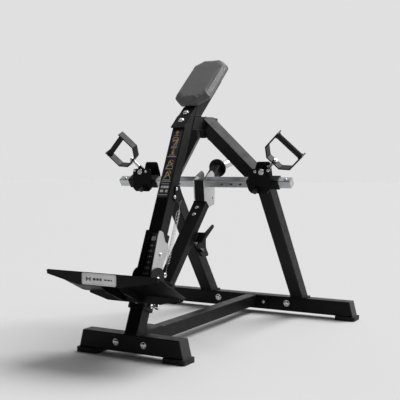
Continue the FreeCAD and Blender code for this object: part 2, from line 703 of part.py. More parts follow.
side_outline = [(111, 391, 4), (183, 592, 14), (202, 618, 13), (234, 604, 13), (252, 553, 6),
                (285, 538, 8), (283, 505, 10), (222, 424, 10), (205, 391, 4)]
side_blank = side_plate("side_blank", side_outline, "sheet_metal", sleeve_half)
plate_hole = clearance("plate_hole", plate_bolt + side_right * sleeve_half, side_right, 30, 6.0)
plate_ear_room = rod("plate_ear_room", "7 mm", 60, ear_middle + side_right * 30, side_right)
keep("footplate_side_plate", cut("side_plate", side_blank, plate_hole, plate_ear_room))

glide_thickness = sleeve_gap - 0.1
glides = []
for level, rise in enumerate((sleeve_low + 84, sleeve_high - 80)):
    for number, (x, out, normal) in enumerate((
            (inside, axis_out, -side_right), (-inside, axis_out, side_right),
            (0, axis_out - inside, mast_front))):
        place = mast_foot + mast_up * rise + side_right * x + mast_front * (frame_half + out)
        glides.append(plate(f"glide_{level}_{number}", [(-30, -14, 3), (30, -14, 3), (30, 14, 3),
                                                        (-30, 14, 3)],
                            f"{glide_thickness} mm", place, normal, mast_up))
    for number, x in enumerate((-30, 35)):
        place = mast_foot + mast_up * rise + side_right * x + mast_front * inside
        glides.append(plate(f"front_glide_{level}_{number}", [(-30, -4), (30, -4), (30, 4), (-30, 4)],
                            f"{glide_thickness} mm", place, -mast_front, mast_up))
keep("footplate_glides", group("footplate_glides", glides))

deck_near = (-238.0, 448.5)
deck_far = (35.0, 314.0)
deck_half_near, deck_half_far = 320.0, 305.0
deck_way = Vector(0, deck_far[0] - deck_near[0], deck_far[1] - deck_near[1])
deck_run = deck_way.Length
deck_way.normalize()
deck_up = side_right.cross(deck_way).normalize()
metal = dim("sheet_metal")
deck_top = plate("deck_top", [(-deck_half_near, 0, 12), (deck_half_near, 0, 12),
                              (deck_half_far, deck_run, 20), (-deck_half_far, deck_run, 20)],
                 "sheet_metal", bench(0, deck_near[0], deck_near[1]) - deck_up * metal, deck_up, side_right)
near_outline = [(-deck_half_near, 0, 6), (deck_half_near, 0, 6), (314, -20, 4), (110, -59, 20),
                (-130, -59, 20), (-314, -20, 4)]
far_outline = [(-deck_half_far, 0, 6), (deck_half_far, 0, 6), (160, -40, 12), (-150, -40, 12)]
near_flange = plate("near_flange", near_outline, "sheet_metal",
                    bench(0, deck_near[0] + metal, deck_near[1] - 2.5), -rearward, side_right)
far_flange = plate("far_flange", far_outline, "sheet_metal",
                   bench(0, deck_far[0] + 0.5, deck_far[1] - 2.5), -rearward, side_right)
deck_front = bench(0, deck_near[0], 0)
keep("footplate_deck", trim("footplate_deck", fuse("footplate_deck", deck_top, near_flange, far_flange),
                            (deck_front, -rearward)))

gusset_points = [(-175, 411.5), (-175, 382, 8), (-128, 341, 20), (13, 280, 20), (120, 262, 40),
                 (236, 318, 50), (232, 429, 56), (112, 429, 54), (100, 380, 20), (36, 311, 6)]
under_deck = bench(0, deck_near[0], deck_near[1]) - deck_up * metal
gussets = []
for name, x in (("left", -sleeve_half - 6), ("right", sleeve_half + metal)):
    blank = side_plate(f"deck_gusset_{name}", gusset_points, "plate", x)
    flange_room = plate(f"flange_room_{name}", [(-400, -60), (400, -60), (400, 20), (-400, 20)],
                        f"{metal + 0.2} mm", bench(0, deck_far[0] + 0.6, deck_far[1] - 2.5), -rearward,
                        side_right)
    above = document.addObject("Part::Box", f"above_deck_{name}")
    above.Length, above.Width, above.Height = 200, deck_run + 2, 200
    above.Placement = Placement(under_deck - side_right * 100 - deck_way * 1,
                                Rotation(side_right, deck_way, deck_up, "ZXY"))
    hole = clearance(f"gusset_hole_{name}", ear_middle, side_right, 300, 6.0)
    gussets.append(cut(f"gusset_{name}", blank, flange_room, above, hole))
keep("footplate_gussets", group("footplate_gussets", gussets))

badge_outline = [(-104, -58, 8), (91, -58, 8), (91, -3, 8), (-104, -3, 8)]
keep("footplate_badge", plate("footplate_badge", badge_outline, "2.2 mm",
                              bench(0, deck_near[0], deck_near[1]), -rearward, side_right))

foot_bolts = [
    dome_bolt("side_plate_bolt", plate_bolt + side_right * (sleeve_half + metal), side_right, 9, 6.0),
    dome_bolt("ear_bolt_right", ear_middle + side_right * (sleeve_half + metal + 6), side_right, 15, 6.0),
    dome_bolt("ear_bolt_left", ear_middle - side_right * (sleeve_half + 6), -side_right, 10, 6.0),
    dome_bolt("sleeve_front_bolt", front_bolt + mast_front * (sleeve_half - frame_half), mast_front, 8, 8.0),
]
keep("footplate_bolts", group("footplate_bolts", foot_bolts))

eye_place = bench(spring_x, 262, 379)
eye_rise = (262 - 46) * lean_y + (379 - base_top) * lean_z
eye_foot = on_mast(eye_rise, axis_out - sleeve_half, spring_x)
eye_reach = (eye_place - eye_foot).dot(-mast_front)
eye_ring = document.addObject("Part::Torus", "eye_ring")
eye_ring.Radius1 = 10
eye_ring.Radius2 = 3.5
eye_centre = eye_foot - mast_front * eye_reach
eye_ring.Placement = facing(eye_centre, side_right, mast_up)
eye_stud = rod("eye_stud", "3.5 mm", eye_reach - 8, eye_foot, -mast_front)
eye_collar = rod("eye_collar", "6 mm", 6, eye_foot, -mast_front)
keep("spring_eye", fuse("spring_eye", eye_ring, eye_stud, eye_collar))

barrel_length, parked_gap = 17.0, 0.4
barrel_start = pin_axis + side_right * sleeve_half
keep("pin_barrel", ring("pin_barrel", dim("pin_radius") + dim("running_gap"), 12, barrel_length,
                        barrel_start, side_right))
pin_tip = frame_half + parked_gap
knob_start = sleeve_half + barrel_length + 11 - pin_tip
pin_r = dim("pin_radius")
pull_pin_profile = [(0, 0), (pin_r - 1, 0), (pin_r, 2), (pin_r, knob_start), (9, knob_start, 2),
                    (9, knob_start + 8), (15, knob_start + 14, 4), (15, knob_start + 34, 5),
                    (0, knob_start + 34)]
keep("footplate_pin", turned("footplate_pin", pull_pin_profile, pin_axis + side_right * pin_tip, side_right))

spring_way = (spring_top - eye_centre).normalize()
spring_span = (spring_top - eye_centre).Length
hook_gap = 7.0
coil_start = (spring_span - dim("spring_length")) / 2
coil = rod("spring_coil", cell("spring_radius"), dim("spring_length"), eye_centre + spring_way * coil_start,
           spring_way)
low_hook = rod("spring_low_hook", "1.6 mm", coil_start - 15, eye_centre + spring_way * 15, spring_way)
high_hook = rod("spring_high_hook", "1.6 mm", coil_start - hook_gap - 15,
                spring_top - spring_way * (coil_start), spring_way)
keep("counterbalance_spring", fuse("counterbalance_spring", coil, low_hook, high_hook))

# ---------------------------------------------------------------- lever

lever_top = 577.7
lever_half = dim("lever_width") / 2
lever_thick = dim("lever_depth") / 2
lever_stock = tube("lever_stock", "lever_width", "lever_depth", "tube_wall", "tube_corner", pivot, lever_up,
                   side_right, lever_top)
hub = rod("lever_hub", cell("hub_radius"), dim("lever_width"), pivot - side_right * lever_half, side_right)
bush_radius = 19.0
hub_bore = rod("hub_bore", f"{bush_radius} mm", 120, pivot - side_right * 60, side_right)
lever_bolts = []
lever_tools = []
for number, along in enumerate((481.0, 532.0)):
    place = pivot + lever_up * along + lever_front * lever_thick
    lever_bolts.append(dome_bolt(f"lever_bolt_{number}", place, lever_front, 24, 5.5))
    lever_tools.append(clearance(f"lever_hole_{number}", place, lever_front, 30, 5.5))
keep("lever_arm", cut("lever_arm", fuse("lever_arm", lever_stock, hub), hub_bore, *lever_tools))
bore = dim("shaft_radius") + dim("running_gap")
bushes = []
for side in (-1, 1):
    bush_profile = [(bore, -25), (bush_radius, -25), (bush_radius, 0), (26, 0), (26, 2.9), (bore, 2.9)]
    bushes.append(turned(f"bush_{side + 1}", bush_profile, pivot + side_right * side * lever_half,
                         side_right * side))
keep("lever_bushes", group("lever_bushes", bushes))

turn_y, turn_z = slope(dim("bar_turn"))
bar_front = Vector(0, -turn_z, -turn_y)
bar_top = Vector(0, -turn_y, turn_z)
bar_half = dim("bar_tube") / 2
cap_length = 5.0
tube_half_length = dim("bar_half_length") - cap_length
bar_stock = tube("bar_stock", "bar_tube", "bar_tube", "bar_wall", "bar_corner",
                 bar_centre - side_right * tube_half_length, side_right, bar_front, 2 * tube_half_length)
pin_x = 365.0
bar_holes = []
for side in (-1, 1):
    for step in range(5):
        place = bar_centre + side_right * side * (pin_x - dim("hole_pitch") * step) + bar_front * bar_half
        bar_holes.append(rod(f"bar_hole_{side + 1}_{step}", "7 mm", 16, place - bar_front * 8, bar_front))
stop_x = 517.0
for side in (-1, 1):
    place = bar_centre + side_right * side * stop_x + bar_top * bar_half
    lever_bolts.append(dome_bolt(f"stop_screw_{side + 1}", place, bar_top, 12, 4.5))
    bar_holes.append(clearance(f"stop_hole_{side + 1}", place, bar_top, 16, 4.5))
keep("lever_bolts", group("lever_bolts", lever_bolts))
keep("crossbar", cut("crossbar", bar_stock, group("bar_holes", bar_holes)))
bar_caps = []
for side in (-1, 1):
    square = [(-bar_half, -bar_half, 4), (bar_half, -bar_half, 4), (bar_half, bar_half, 4),
              (-bar_half, bar_half, 4)]
    bar_caps.append(plate(f"bar_cap_{side + 1}", square, f"{cap_length} mm",
                          bar_centre + side_right * side * tube_half_length, side_right * side, bar_front))
keep("crossbar_caps", group("crossbar_caps", bar_caps))

bar_room_half = bar_half + 0.05
bar_room = plate("bar_room", [(-bar_room_half, -bar_room_half), (bar_room_half, -bar_room_half),
                              (bar_room_half, bar_room_half), (-bar_room_half, bar_room_half)],
                 "200 mm", bar_centre - side_right * 100, side_right, bar_front)
end_front = pivot + lever_up * lever_top + lever_front * lever_thick
end_rear = pivot + lever_up * lever_top - lever_front * lever_thick
low_front = (end_front.y + setback, end_front.z)
low_rear = (end_rear.y + setback, end_rear.z)
block_outline = [(698, 862, 4), low_front, low_rear, (766, 780, 10), (768, 848), (740, 868)]
block_blank = side_plate("block_blank", block_outline, "60 mm", -30)
keep("yoke_block", cut("yoke_block", block_blank, bar_room))
yoke_outline = [(698, 864, 6), low_front, low_rear, (818, 722, 12), (824, 800, 20), (818, 900, 10),
                 (790, 917, 12), (760, 903, 10), (738, 892, 10)]
yoke_plates = []
for side in (-1, 1):
    x = 30 if side > 0 else -36
    blank = side_plate(f"yoke_plate_{side + 1}", yoke_outline, "plate", x)
    hole = rod(f"yoke_hole_{side + 1}", "7 mm", 40, bench(x - 10, 796, 760), side_right)
    yoke_plates.append(cut(f"yoke_plate_cut_{side + 1}", blank, bar_room, hole))
keep("yoke_plates", group("yoke_plates", yoke_plates))

stop_centre = bench(0, 927, 931)
horn_rise = math.radians(12)
horn_way = Vector(0, math.cos(horn_rise), math.sin(horn_rise))
post_start = bench(0, 792, 830)
post_way = (stop_centre - horn_way * 6 - post_start).normalize()
post_length = (stop_centre - horn_way * 6 - post_start).Length
post_outline = [(-26, -26, 5), (26, -26, 5), (26, 26, 5), (-26, 26, 5)]
post_blank = plate("post_blank", post_outline, f"{post_length + 40} mm", post_start - post_way * 22,
                   post_way, side_right)
post = trim("post", post_blank, (stop_centre - horn_way * 6, horn_way))
stop_profile = [(0, -6), (dim("stop_radius"), -6, 2), (dim("stop_radius"), 4, 2), (0, 4)]
plate_stop = turned("plate_stop", stop_profile, stop_centre, horn_way)
keep("horn_post", cut("horn_post", fuse("horn_post", post, plate_stop), bar_room, nodes["yoke_block"]))
horn_length = 262.0
horn_r = dim("horn_radius")
horn_profile = [(0, 0), (horn_r, 0), (horn_r, horn_length - 4), (horn_r - 4, horn_length), (0, horn_length)]
keep("weight_horn", turned("weight_horn", horn_profile, stop_centre + horn_way * 4, horn_way))

# Bumper under the top beam, where the horn's stop disc lands at the end of the lever's travel
lever_travel = 13.0
landing_gap = 1.0
swing = Rotation(side_right, lever_travel)
disc_rim = stop_centre + horn_way * 4 + Vector(0, -horn_way.z, horn_way.y) * dim("stop_radius")
landing = swing.multVec(disc_rim - pivot) + pivot
bumper_radius = 20.0
bumper_thickness = beam_bottom - landing.z - landing_gap
bumper_profile = [(0, 0), (bumper_radius, 0), (bumper_radius, bumper_thickness, 6), (0, bumper_thickness)]
bumper = turned("beam_bumper", bumper_profile, Vector(0, landing.y, beam_bottom), -upward)
keep("rubber_stops", group("rubber_stops", [rest_pad, bumper]))

# ---------------------------------------------------------------- handle carriages and D-handles

carriage_length = dim("carriage_outer") - dim("carriage_inner")
sleeve_wall = 6.2
slide_gap = 0.3
carriage_size = dim("bar_tube") + 2 * (sleeve_wall + slide_gap)
swivel_x = 390.0
swivel_z = 910.0
cheek_front, cheek_rear, cheek_thick = 692.0, 774.0, 6.0
handle_lean = math.radians(dim("handle_lean"))
handle_spin = math.radians(dim("handle_spin"))
pin_travel = 10.0
barrel_reach = 35.0


def square(half, radius=0):
    corners = [(-half, -half), (half, -half), (half, half), (-half, half)]
    return [(x, y, radius) if radius else (x, y) for x, y in corners]


def upright(name, points, thickness, y):
    """A plate across the machine, its outline in (x, z), that reaches rearward from y."""
    mirrored = [(-point[0],) + tuple(point[1:]) for point in points]
    return plate(name, mirrored, f"{thickness} mm", bench(0, y, 0), rearward, -side_right)


def build_carriage(word, side):
    """One carriage with its swivel hub, lock pin, rod, strap and grip."""
    middle = bench(side * (dim("carriage_inner") + dim("carriage_outer")) / 2, 735.8, 853.1)
    start = middle - side_right * (carriage_length / 2)
    outer = plate(f"{word}_sleeve", square(carriage_size / 2, 6), f"{carriage_length} mm", start, side_right,
                  bar_front)
    room = plate(f"{word}_room", square(dim("bar_tube") / 2 + slide_gap), "400 mm",
                 middle - side_right * 200, side_right, bar_front)
    front = [(side * x, z, r) for x, z, r in ((313, 812, 10), (332, 794, 10), (420, 794, 10), (440, 812, 10),
                                              (442, 900, 8), (436, 927, 12), (320, 927, 12), (313, 880, 8))]
    rear = [(side * x, z, r) for x, z, r in ((300, 836, 8), (424, 836, 8), (412, 930, 8), (403, 967, 14),
                                             (326, 967, 14), (306, 900, 8))]
    cheeks = [upright(f"{word}_front_cheek", front, cheek_thick, cheek_front),
              upright(f"{word}_rear_cheek", rear, cheek_thick, cheek_rear)]
    pin_foot = bar_centre + side_right * side * pin_x
    barrel = rod(f"{word}_barrel", "11 mm", barrel_reach + 1,
                 pin_foot + bar_front * (carriage_size / 2 - 1), bar_front)
    pin_bore = rod(f"{word}_pin_bore", f"{dim('pin_radius') + dim('running_gap')} mm", 90, pin_foot,
                   bar_front)
    swivel = bench(side * swivel_x, 0, swivel_z)
    spots = [("low", 429.0, 917.9), ("high", 352.0, 912.0)]
    tools = [room, pin_bore, clearance(f"{word}_swivel_hole", swivel + rearward * 735, rearward, 120, 7.6)]
    bolts = []
    for spot_name, x, z in spots:
        place = bench(side * x, cheek_front, z)
        bolts.append(dome_bolt(f"{word}_{spot_name}_bolt", place, -rearward, 22, 4.0))
        tools.append(clearance(f"{word}_{spot_name}_hole", place, rearward, 40, 4.0))
    welded = fuse(f"{word}_carriage", outer, barrel, *cheeks)
    keep(f"{word}_carriage", cut(f"{word}_carriage", welded, *tools))

    shaft_r = dim("swivel_radius")
    front_y, rear_y = cheek_front, cheek_rear + cheek_thick
    shaft_profile = [(0, -8), (16, -8, 3), (16, 0), (shaft_r, 0), (shaft_r, rear_y - front_y),
                     (13, rear_y - front_y), (13, rear_y - front_y + 8, 2), (0, rear_y - front_y + 8)]
    bolts.append(turned(f"{word}_swivel_shaft", shaft_profile, swivel + rearward * front_y, rearward))
    keep(f"{word}_carriage_bolts", group(f"{word}_carriage_bolts", bolts))

    tip = dim("bar_tube") / 2 + parked_gap
    base = carriage_size / 2 + barrel_reach + pin_travel + 1 - tip
    pin_r = dim("pin_radius")
    pin_profile = [(0, 0), (pin_r - 1, 0), (pin_r, 2), (pin_r, base), (13, base, 2), (14, base + 20, 5),
                   (0, base + 20)]
    keep(f"{word}_lock_pin", turned(f"{word}_lock_pin", pin_profile, pin_foot + bar_front * tip, bar_front))

    # The rod leans to the front; the D's width direction is turned about the rod by the rest spin.
    rise = math.radians(dim(f"{word}_handle_rise"))
    way = Vector(side * math.cos(rise) * math.cos(handle_lean), -math.sin(handle_lean),
                 math.sin(rise) * math.cos(handle_lean))
    across_up = Vector(-side * math.sin(rise), 0, math.cos(rise))
    square_back = across_up.cross(way) * side
    strap_back = square_back * math.cos(handle_spin) + across_up * math.sin(handle_spin)
    centre = swivel + rearward * ((cheek_front + cheek_thick + cheek_rear) / 2)
    hub_half = (cheek_rear - cheek_front - cheek_thick) / 2 - 0.5
    barrel = rod(f"{word}_hub_barrel", "15 mm", 2 * hub_half, centre - rearward * hub_half, rearward)
    boss_end, socket_start = 42.0, 20.0
    boss = rod(f"{word}_hub_boss", "13.5 mm", boss_end, centre, way)
    rod_r = 8.0
    socket = rod(f"{word}_hub_socket", f"{rod_r + dim('running_gap')} mm", 60, centre + way * socket_start,
                 way)
    hub_bore = rod(f"{word}_hub_bore", f"{dim('swivel_radius') + dim('running_gap')} mm", 120,
                   centre - rearward * 60, rearward)
    keep(f"{word}_swivel_hub", cut(f"{word}_swivel_hub", fuse(f"{word}_swivel_hub", barrel, boss), socket,
                                   hub_bore))

    strap_base = 90.0
    thick = dim("strap_thickness")
    rod_profile = [(0, socket_start + 0.3), (rod_r, socket_start + 0.3), (rod_r, strap_base - 6),
                   (12, strap_base - 6), (12, strap_base), (rod_r, strap_base), (rod_r, strap_base + thick),
                   (13, strap_base + thick), (13, strap_base + thick + 10, 3),
                   (rod_r, strap_base + thick + 10), (rod_r, strap_base + thick + 15, 2),
                   (0, strap_base + thick + 15)]
    keep(f"{word}_handle_rod", turned(f"{word}_handle_rod", rod_profile, centre, way))

    arm, base_half, shoulder, reach = 91.0, 46.0, 45.0, 162.0
    tuck = thick * math.tan(math.radians(22.5))
    outline = [(0, -base_half, 6), (0, base_half, 6), (shoulder, arm, 10), (reach, arm),
               (reach, arm - thick), (shoulder + tuck, arm - thick, 4), (thick, base_half - tuck, 4),
               (thick, -base_half + tuck, 4), (shoulder + tuck, -arm + thick, 4), (reach, -arm + thick),
               (reach, -arm), (shoulder, -arm, 10)]
    strap = plate(f"{word}_strap_blank", outline, "strap_width",
                  centre + way * strap_base + strap_back * (dim("strap_width") / 2), -strap_back, way)
    strap_hole = rod(f"{word}_strap_hole", f"{rod_r + 0.1} mm", 40, centre + way * (strap_base - 10), way)
    keep(f"{word}_handle_strap", cut(f"{word}_handle_strap", strap, strap_hole))
    grip_half = arm - thick - 0.1
    across = way.cross(strap_back).normalize()
    grip_r = dim("grip_radius")
    grip_profile = [(0, -grip_half), (grip_r + 3, -grip_half, 1), (grip_r + 3, -grip_half + 5, 1),
                    (grip_r, -grip_half + 8), (grip_r, grip_half - 8), (grip_r + 3, grip_half - 5, 1),
                    (grip_r + 3, grip_half, 1), (0, grip_half)]
    grip_place = centre + way * (strap_base + reach - 22)
    keep(f"{word}_grip", turned(f"{word}_grip", grip_profile, grip_place, across))


for word, side in (("left", -1), ("right", 1)):
    build_carriage(word, side)

keep("frame_bolts", group("frame_bolts", frame_bolts))
keep("frame_nuts", group("frame_nuts", frame_nuts))

# ---------------------------------------------------------------- checks and export

document.recompute()
for thing in document.Objects:
    if "Invalid" in thing.State or "Error" in thing.State:
        raise RuntimeError(f"{thing.Name} failed: {thing.State}")
for name, thing in nodes.items():
    if thing.Shape.isNull() or not thing.Shape.isValid() or thing.Shape.Volume <= 0:
        raise RuntimeError(f"{name} has no valid shape")

os.makedirs("parts", exist_ok=True)
for name, thing in nodes.items():
    thing.Shape.exportStep(f"parts/{name}.step")

whole = FreeCAD.BoundBox()
for thing in nodes.values():
    whole.add(thing.Shape.BoundBox)
print(len(nodes), "nodes", whole)
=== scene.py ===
import json
import math

import bmesh
import bpy
from mathutils import Matrix, Vector
from mathutils.bvhtree import BVHTree


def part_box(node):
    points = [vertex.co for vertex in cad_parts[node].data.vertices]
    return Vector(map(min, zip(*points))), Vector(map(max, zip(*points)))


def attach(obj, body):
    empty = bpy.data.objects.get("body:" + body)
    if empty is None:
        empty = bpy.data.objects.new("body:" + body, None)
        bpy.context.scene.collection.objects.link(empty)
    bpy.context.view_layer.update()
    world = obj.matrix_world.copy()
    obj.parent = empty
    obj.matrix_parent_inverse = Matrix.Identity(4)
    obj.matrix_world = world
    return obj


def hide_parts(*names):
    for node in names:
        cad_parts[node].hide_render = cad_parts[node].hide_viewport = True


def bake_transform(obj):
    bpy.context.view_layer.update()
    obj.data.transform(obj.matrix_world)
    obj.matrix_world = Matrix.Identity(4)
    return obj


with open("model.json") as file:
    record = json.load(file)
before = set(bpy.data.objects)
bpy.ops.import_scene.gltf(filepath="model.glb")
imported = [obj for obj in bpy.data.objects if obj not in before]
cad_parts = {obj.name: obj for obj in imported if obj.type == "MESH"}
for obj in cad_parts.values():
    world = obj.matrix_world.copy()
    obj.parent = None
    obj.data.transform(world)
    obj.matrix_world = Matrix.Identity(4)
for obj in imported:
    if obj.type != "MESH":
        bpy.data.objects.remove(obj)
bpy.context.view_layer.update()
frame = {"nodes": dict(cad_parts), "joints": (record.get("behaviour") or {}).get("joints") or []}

# Chest supported row machine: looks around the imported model, in metres.
# +X is the user's right, +Y runs from the footplate to the rear feet, +Z is up.

MM = 0.001
RIGHT = Vector((1, 0, 0))
REARWARD = Vector((0, 1, 0))
UP = Vector((0, 0, 1))


def sloping(degrees):
    """A unit direction in the middle plane, leaning rearward from the vertical."""
    return Vector((0, math.sin(math.radians(degrees)), math.cos(math.radians(degrees))))


# ---------------------------------------------------------------- key places of the design

joints = {joint["name"]: joint for joint in frame["joints"]}
mast_up = Vector(joints["footplate_slide"]["axis"]).normalized()
mast_front = Vector((0, -mast_up.z, mast_up.y))
mast_low, mast_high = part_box("mast")
mast_edge = Vector((0, mast_low.y, mast_low.z))

PAD_RISE = 41  # degrees that the pad's length climbs from the horizontal
LEVER_LEAN = 43.9  # degrees of the lever's tube from the vertical, at rest
LEVER_LENGTH = 0.5777  # from the pivot to the top of the lever's tube
LEG_LEAN = math.radians(36.15)  # of the lower legs from the vertical
KNEE = Vector((0.321, 0.2702, 0.8362))  # the right leg's centre line at its bend
SHOULDER = Vector((0.040, 0.1188, 1.165))  # and where it meets the mast
HANDLE_SPIN = math.radians(18)  # of each handle about its rod, at rest

pad_up = sloping(90 - PAD_RISE)
pad_out = Vector((0, -pad_up.z, pad_up.y))
lever_up = sloping(LEVER_LEAN)

BASE_TOP = mast_low.z
LEG_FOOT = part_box("legs_lower")[0].z
TUBE = mast_high.x - mast_low.x


def on_mast(height, across=0.0, out=0.0):
    """A place on the mast's front face at a height above the floor."""
    rise = (height - mast_edge.z) / mast_up.z
    return mast_edge + mast_up * rise + RIGHT * across + mast_front * out


# ---------------------------------------------------------------- scene helpers

def add_object(name, data):
    """A new object, linked to the scene."""
    made = bpy.data.objects.new(name, data)
    bpy.context.scene.collection.objects.link(made)
    return made


def evaluated_mesh(obj):
    """New mesh data of an object with its modifiers applied."""
    return bpy.data.meshes.new_from_object(
        obj.evaluated_get(bpy.context.evaluated_depsgraph_get()))


def circle(count):
    """Angles at even steps round a full turn."""
    return [2 * math.pi * k / count for k in range(count)]


def grey(shade):
    return (shade, shade, shade)


# ---------------------------------------------------------------- materials

NOT_AN_EDGE, FULL_EDGE = 0.985, 0.8  # likeness of a rounded normal to the true one


class Finish:
    """A node material built step by step, in the object's own coordinates."""

    def __init__(self, name, colour, roughness, metallic=0.0, specular=0.5):
        self.material = bpy.data.materials.new(name)
        self.material.use_nodes = True
        self.tree = self.material.node_tree
        self.shader = self.tree.nodes["Principled BSDF"]
        self.shader.inputs["Base Color"].default_value = (*colour, 1)
        self.shader.inputs["Roughness"].default_value = roughness
        self.shader.inputs["Metallic"].default_value = metallic
        self.shader.inputs["Specular IOR Level"].default_value = specular
        self.place = self.add("ShaderNodeTexCoord").outputs["Object"]
        self.height = None

    def add(self, kind, **settings):
        node = self.tree.nodes.new(kind)
        for key, value in settings.items():
            setattr(node, key, value)
        return node

    def join(self, source, target):
        self.tree.links.new(source, target)

    def stretched(self, scale):
        """The object's coordinates scaled along each axis."""
        mapping = self.add("ShaderNodeMapping")
        mapping.inputs["Scale"].default_value = scale
        self.join(self.place, mapping.inputs["Vector"])
        return mapping.outputs["Vector"]

    def noise(self, scale, detail=3.0, stretch=(1, 1, 1)):
        noise = self.add("ShaderNodeTexNoise")
        noise.inputs["Scale"].default_value = scale
        noise.inputs["Detail"].default_value = detail
        self.join(self.stretched(stretch), noise.inputs["Vector"])
        return noise.outputs["Fac"]

    def cells(self, scale, feature="F1"):
        voronoi = self.add("ShaderNodeTexVoronoi", feature=feature)
        voronoi.inputs["Scale"].default_value = scale
        self.join(self.place, voronoi.inputs["Vector"])
        return voronoi.outputs["Distance"]

    def spread(self, value, low, high, start=0.3, stop=0.7):
        """Map a texture value onto a range."""
        spread = self.add("ShaderNodeMapRange")
        for key, number in (("From Min", start), ("From Max", stop),
                            ("To Min", low), ("To Max", high)):
            spread.inputs[key].default_value = number
        self.join(value, spread.inputs["Value"])
        return spread.outputs["Result"]

    def patches(self, scale, detail, start, stop, low=0.0, high=1.0):
        """Soft blotches that go from low to high where a noise goes from start to stop."""
        return self.spread(self.noise(scale, detail), low, high, start, stop)

    def edge_mask(self, radius, amount=1.0):
        """How far a rounded normal leaves the true one: high along edges."""
        rounded = self.add("ShaderNodeBevel", samples=4)
        rounded.inputs["Radius"].default_value = radius
        geometry = self.add("ShaderNodeNewGeometry")
        likeness = self.add("ShaderNodeVectorMath", operation="DOT_PRODUCT")
        self.join(rounded.outputs["Normal"], likeness.inputs[0])
        self.join(geometry.outputs["Normal"], likeness.inputs[1])
        return self.spread(likeness.outputs["Value"], amount, 0.0, FULL_EDGE, NOT_AN_EDGE)

    def times(self, first, second):
        product = self.add("ShaderNodeMath", operation="MULTIPLY")
        self.join(first, product.inputs[0])
        self.join(second, product.inputs[1])
        return product.outputs["Value"]

    def tint(self, factor, first, second):
        """Base colour between two colours; the first may be an earlier tint."""
        mix = self.add("ShaderNodeMix", data_type="RGBA")
        self.join(factor, mix.inputs["Factor"])
        if isinstance(first, tuple):
            mix.inputs[6].default_value = (*first, 1)
        else:
            self.join(first, mix.inputs[6])
        mix.inputs[7].default_value = (*second, 1)
        self.join(mix.outputs[2], self.shader.inputs["Base Color"])
        return mix.outputs[2]

    def roughen(self, value):
        self.join(value, self.shader.inputs["Roughness"])

    def mottled(self, scale, detail, low, high):
        """Roughness that wanders between two values."""
        self.roughen(self.spread(self.noise(scale, detail), low, high))

    def bump(self, value, distance, strength=1.0):
        """Relief of a given depth; each call adds to the one before."""
        bump = self.add("ShaderNodeBump")
        bump.inputs["Strength"].default_value = strength
        bump.inputs["Distance"].default_value = distance
        self.join(value, bump.inputs["Height"])
        if self.height:
            self.join(self.height, bump.inputs["Normal"])
        self.height = bump.outputs["Normal"]
        self.join(self.height, self.shader.inputs["Normal"])

    def sheen(self, weight, roughness):
        self.shader.inputs["Sheen Weight"].default_value = weight
        self.shader.inputs["Sheen Roughness"].default_value = roughness

    def brushed(self, scale, stretch, low, high, depth):
        """Fine parallel scratches: long noise in roughness and relief."""
        streaks = self.noise(scale, 4.0, stretch)
        self.roughen(self.spread(streaks, low, high))
        self.bump(streaks, depth)


def powder_coat(name, shade, edge_wear_and_glint, roughness, peel):
    """Satin powder coat with orange peel, faint dust, and edges lightened partly as rubbed paint
    and partly as a painted highlight.
    """
    clean = (shade, shade, shade * 1.04)
    dusty = (shade * 1.7, shade * 1.7, shade * 1.75)
    coat = Finish(name, clean, roughness, specular=0.15)
    dusted = coat.tint(coat.patches(7.0, 4.0, 0.35, 0.75), clean, dusty)
    # Lighter edges: partly rubbed paint, partly a painted highlight where the edges would catch the
    # light.
    edges = coat.edge_mask(0.9 * MM)
    lightened = coat.times(edges, coat.patches(60.0, 3.0, 0.35, 0.6, low=0.25))
    coat.tint(lightened, dusted, (edge_wear_and_glint, edge_wear_and_glint, edge_wear_and_glint * 1.02))
    coat.mottled(24.0, 5.0, roughness - 0.05, roughness + 0.08)
    coat.bump(coat.noise(420.0, 2.0), peel)
    coat.bump(coat.noise(1500.0, 2.0), peel * 0.35)
    return coat.material


def brushed_metal(name, shade, low, high, stretch, scale=260.0):
    """Brushed metal with streaks along one axis and faint handling marks."""
    metal = Finish(name, shade, low, 1.0)
    metal.brushed(scale, stretch, low, high, 0.02 * MM)
    darker = tuple(0.8 * c for c in shade)
    metal.tint(metal.patches(14.0, 5.0, 0.45, 0.75), shade, darker)
    return metal.material


def make_chrome():
    """Bright plating with dull smudges."""
    bright, dull = (0.82, 0.83, 0.85), (0.6, 0.61, 0.63)
    chrome = Finish("chrome_plate", bright, 0.12, 1.0)
    smudge = chrome.noise(45.0, 5.0)
    chrome.roughen(chrome.spread(smudge, 0.07, 0.24))
    chrome.tint(chrome.spread(smudge, 0.0, 1.0, 0.5, 0.8), bright, dull)
    chrome.bump(chrome.noise(700.0, 2.0), 0.01 * MM)
    return chrome.material


def make_spring_steel():
    """Plated wire, grey in places."""
    bright, dull = (0.62, 0.63, 0.65), (0.34, 0.34, 0.36)
    steel = Finish("spring_steel", bright, 0.3, 1.0)
    steel.mottled(220.0, 3.0, 0.22, 0.42)
    steel.tint(steel.patches(35.0, 4.0, 0.5, 0.75), bright, dull)
    steel.bump(steel.noise(1300.0, 2.0), 0.02 * MM)
    return steel.material


def make_bronze():
    """Turned bronze, dark with oil."""
    dry, oily = (0.09, 0.066, 0.045), (0.05, 0.038, 0.028)
    bronze = Finish("oiled_bronze", dry, 0.4, 1.0)
    bronze.tint(bronze.noise(90.0, 5.0), dry, oily)
    bronze.mottled(400.0, 3.0, 0.26, 0.46)
    bronze.bump(bronze.noise(1600.0, 2.0), 0.03 * MM)
    return bronze.material


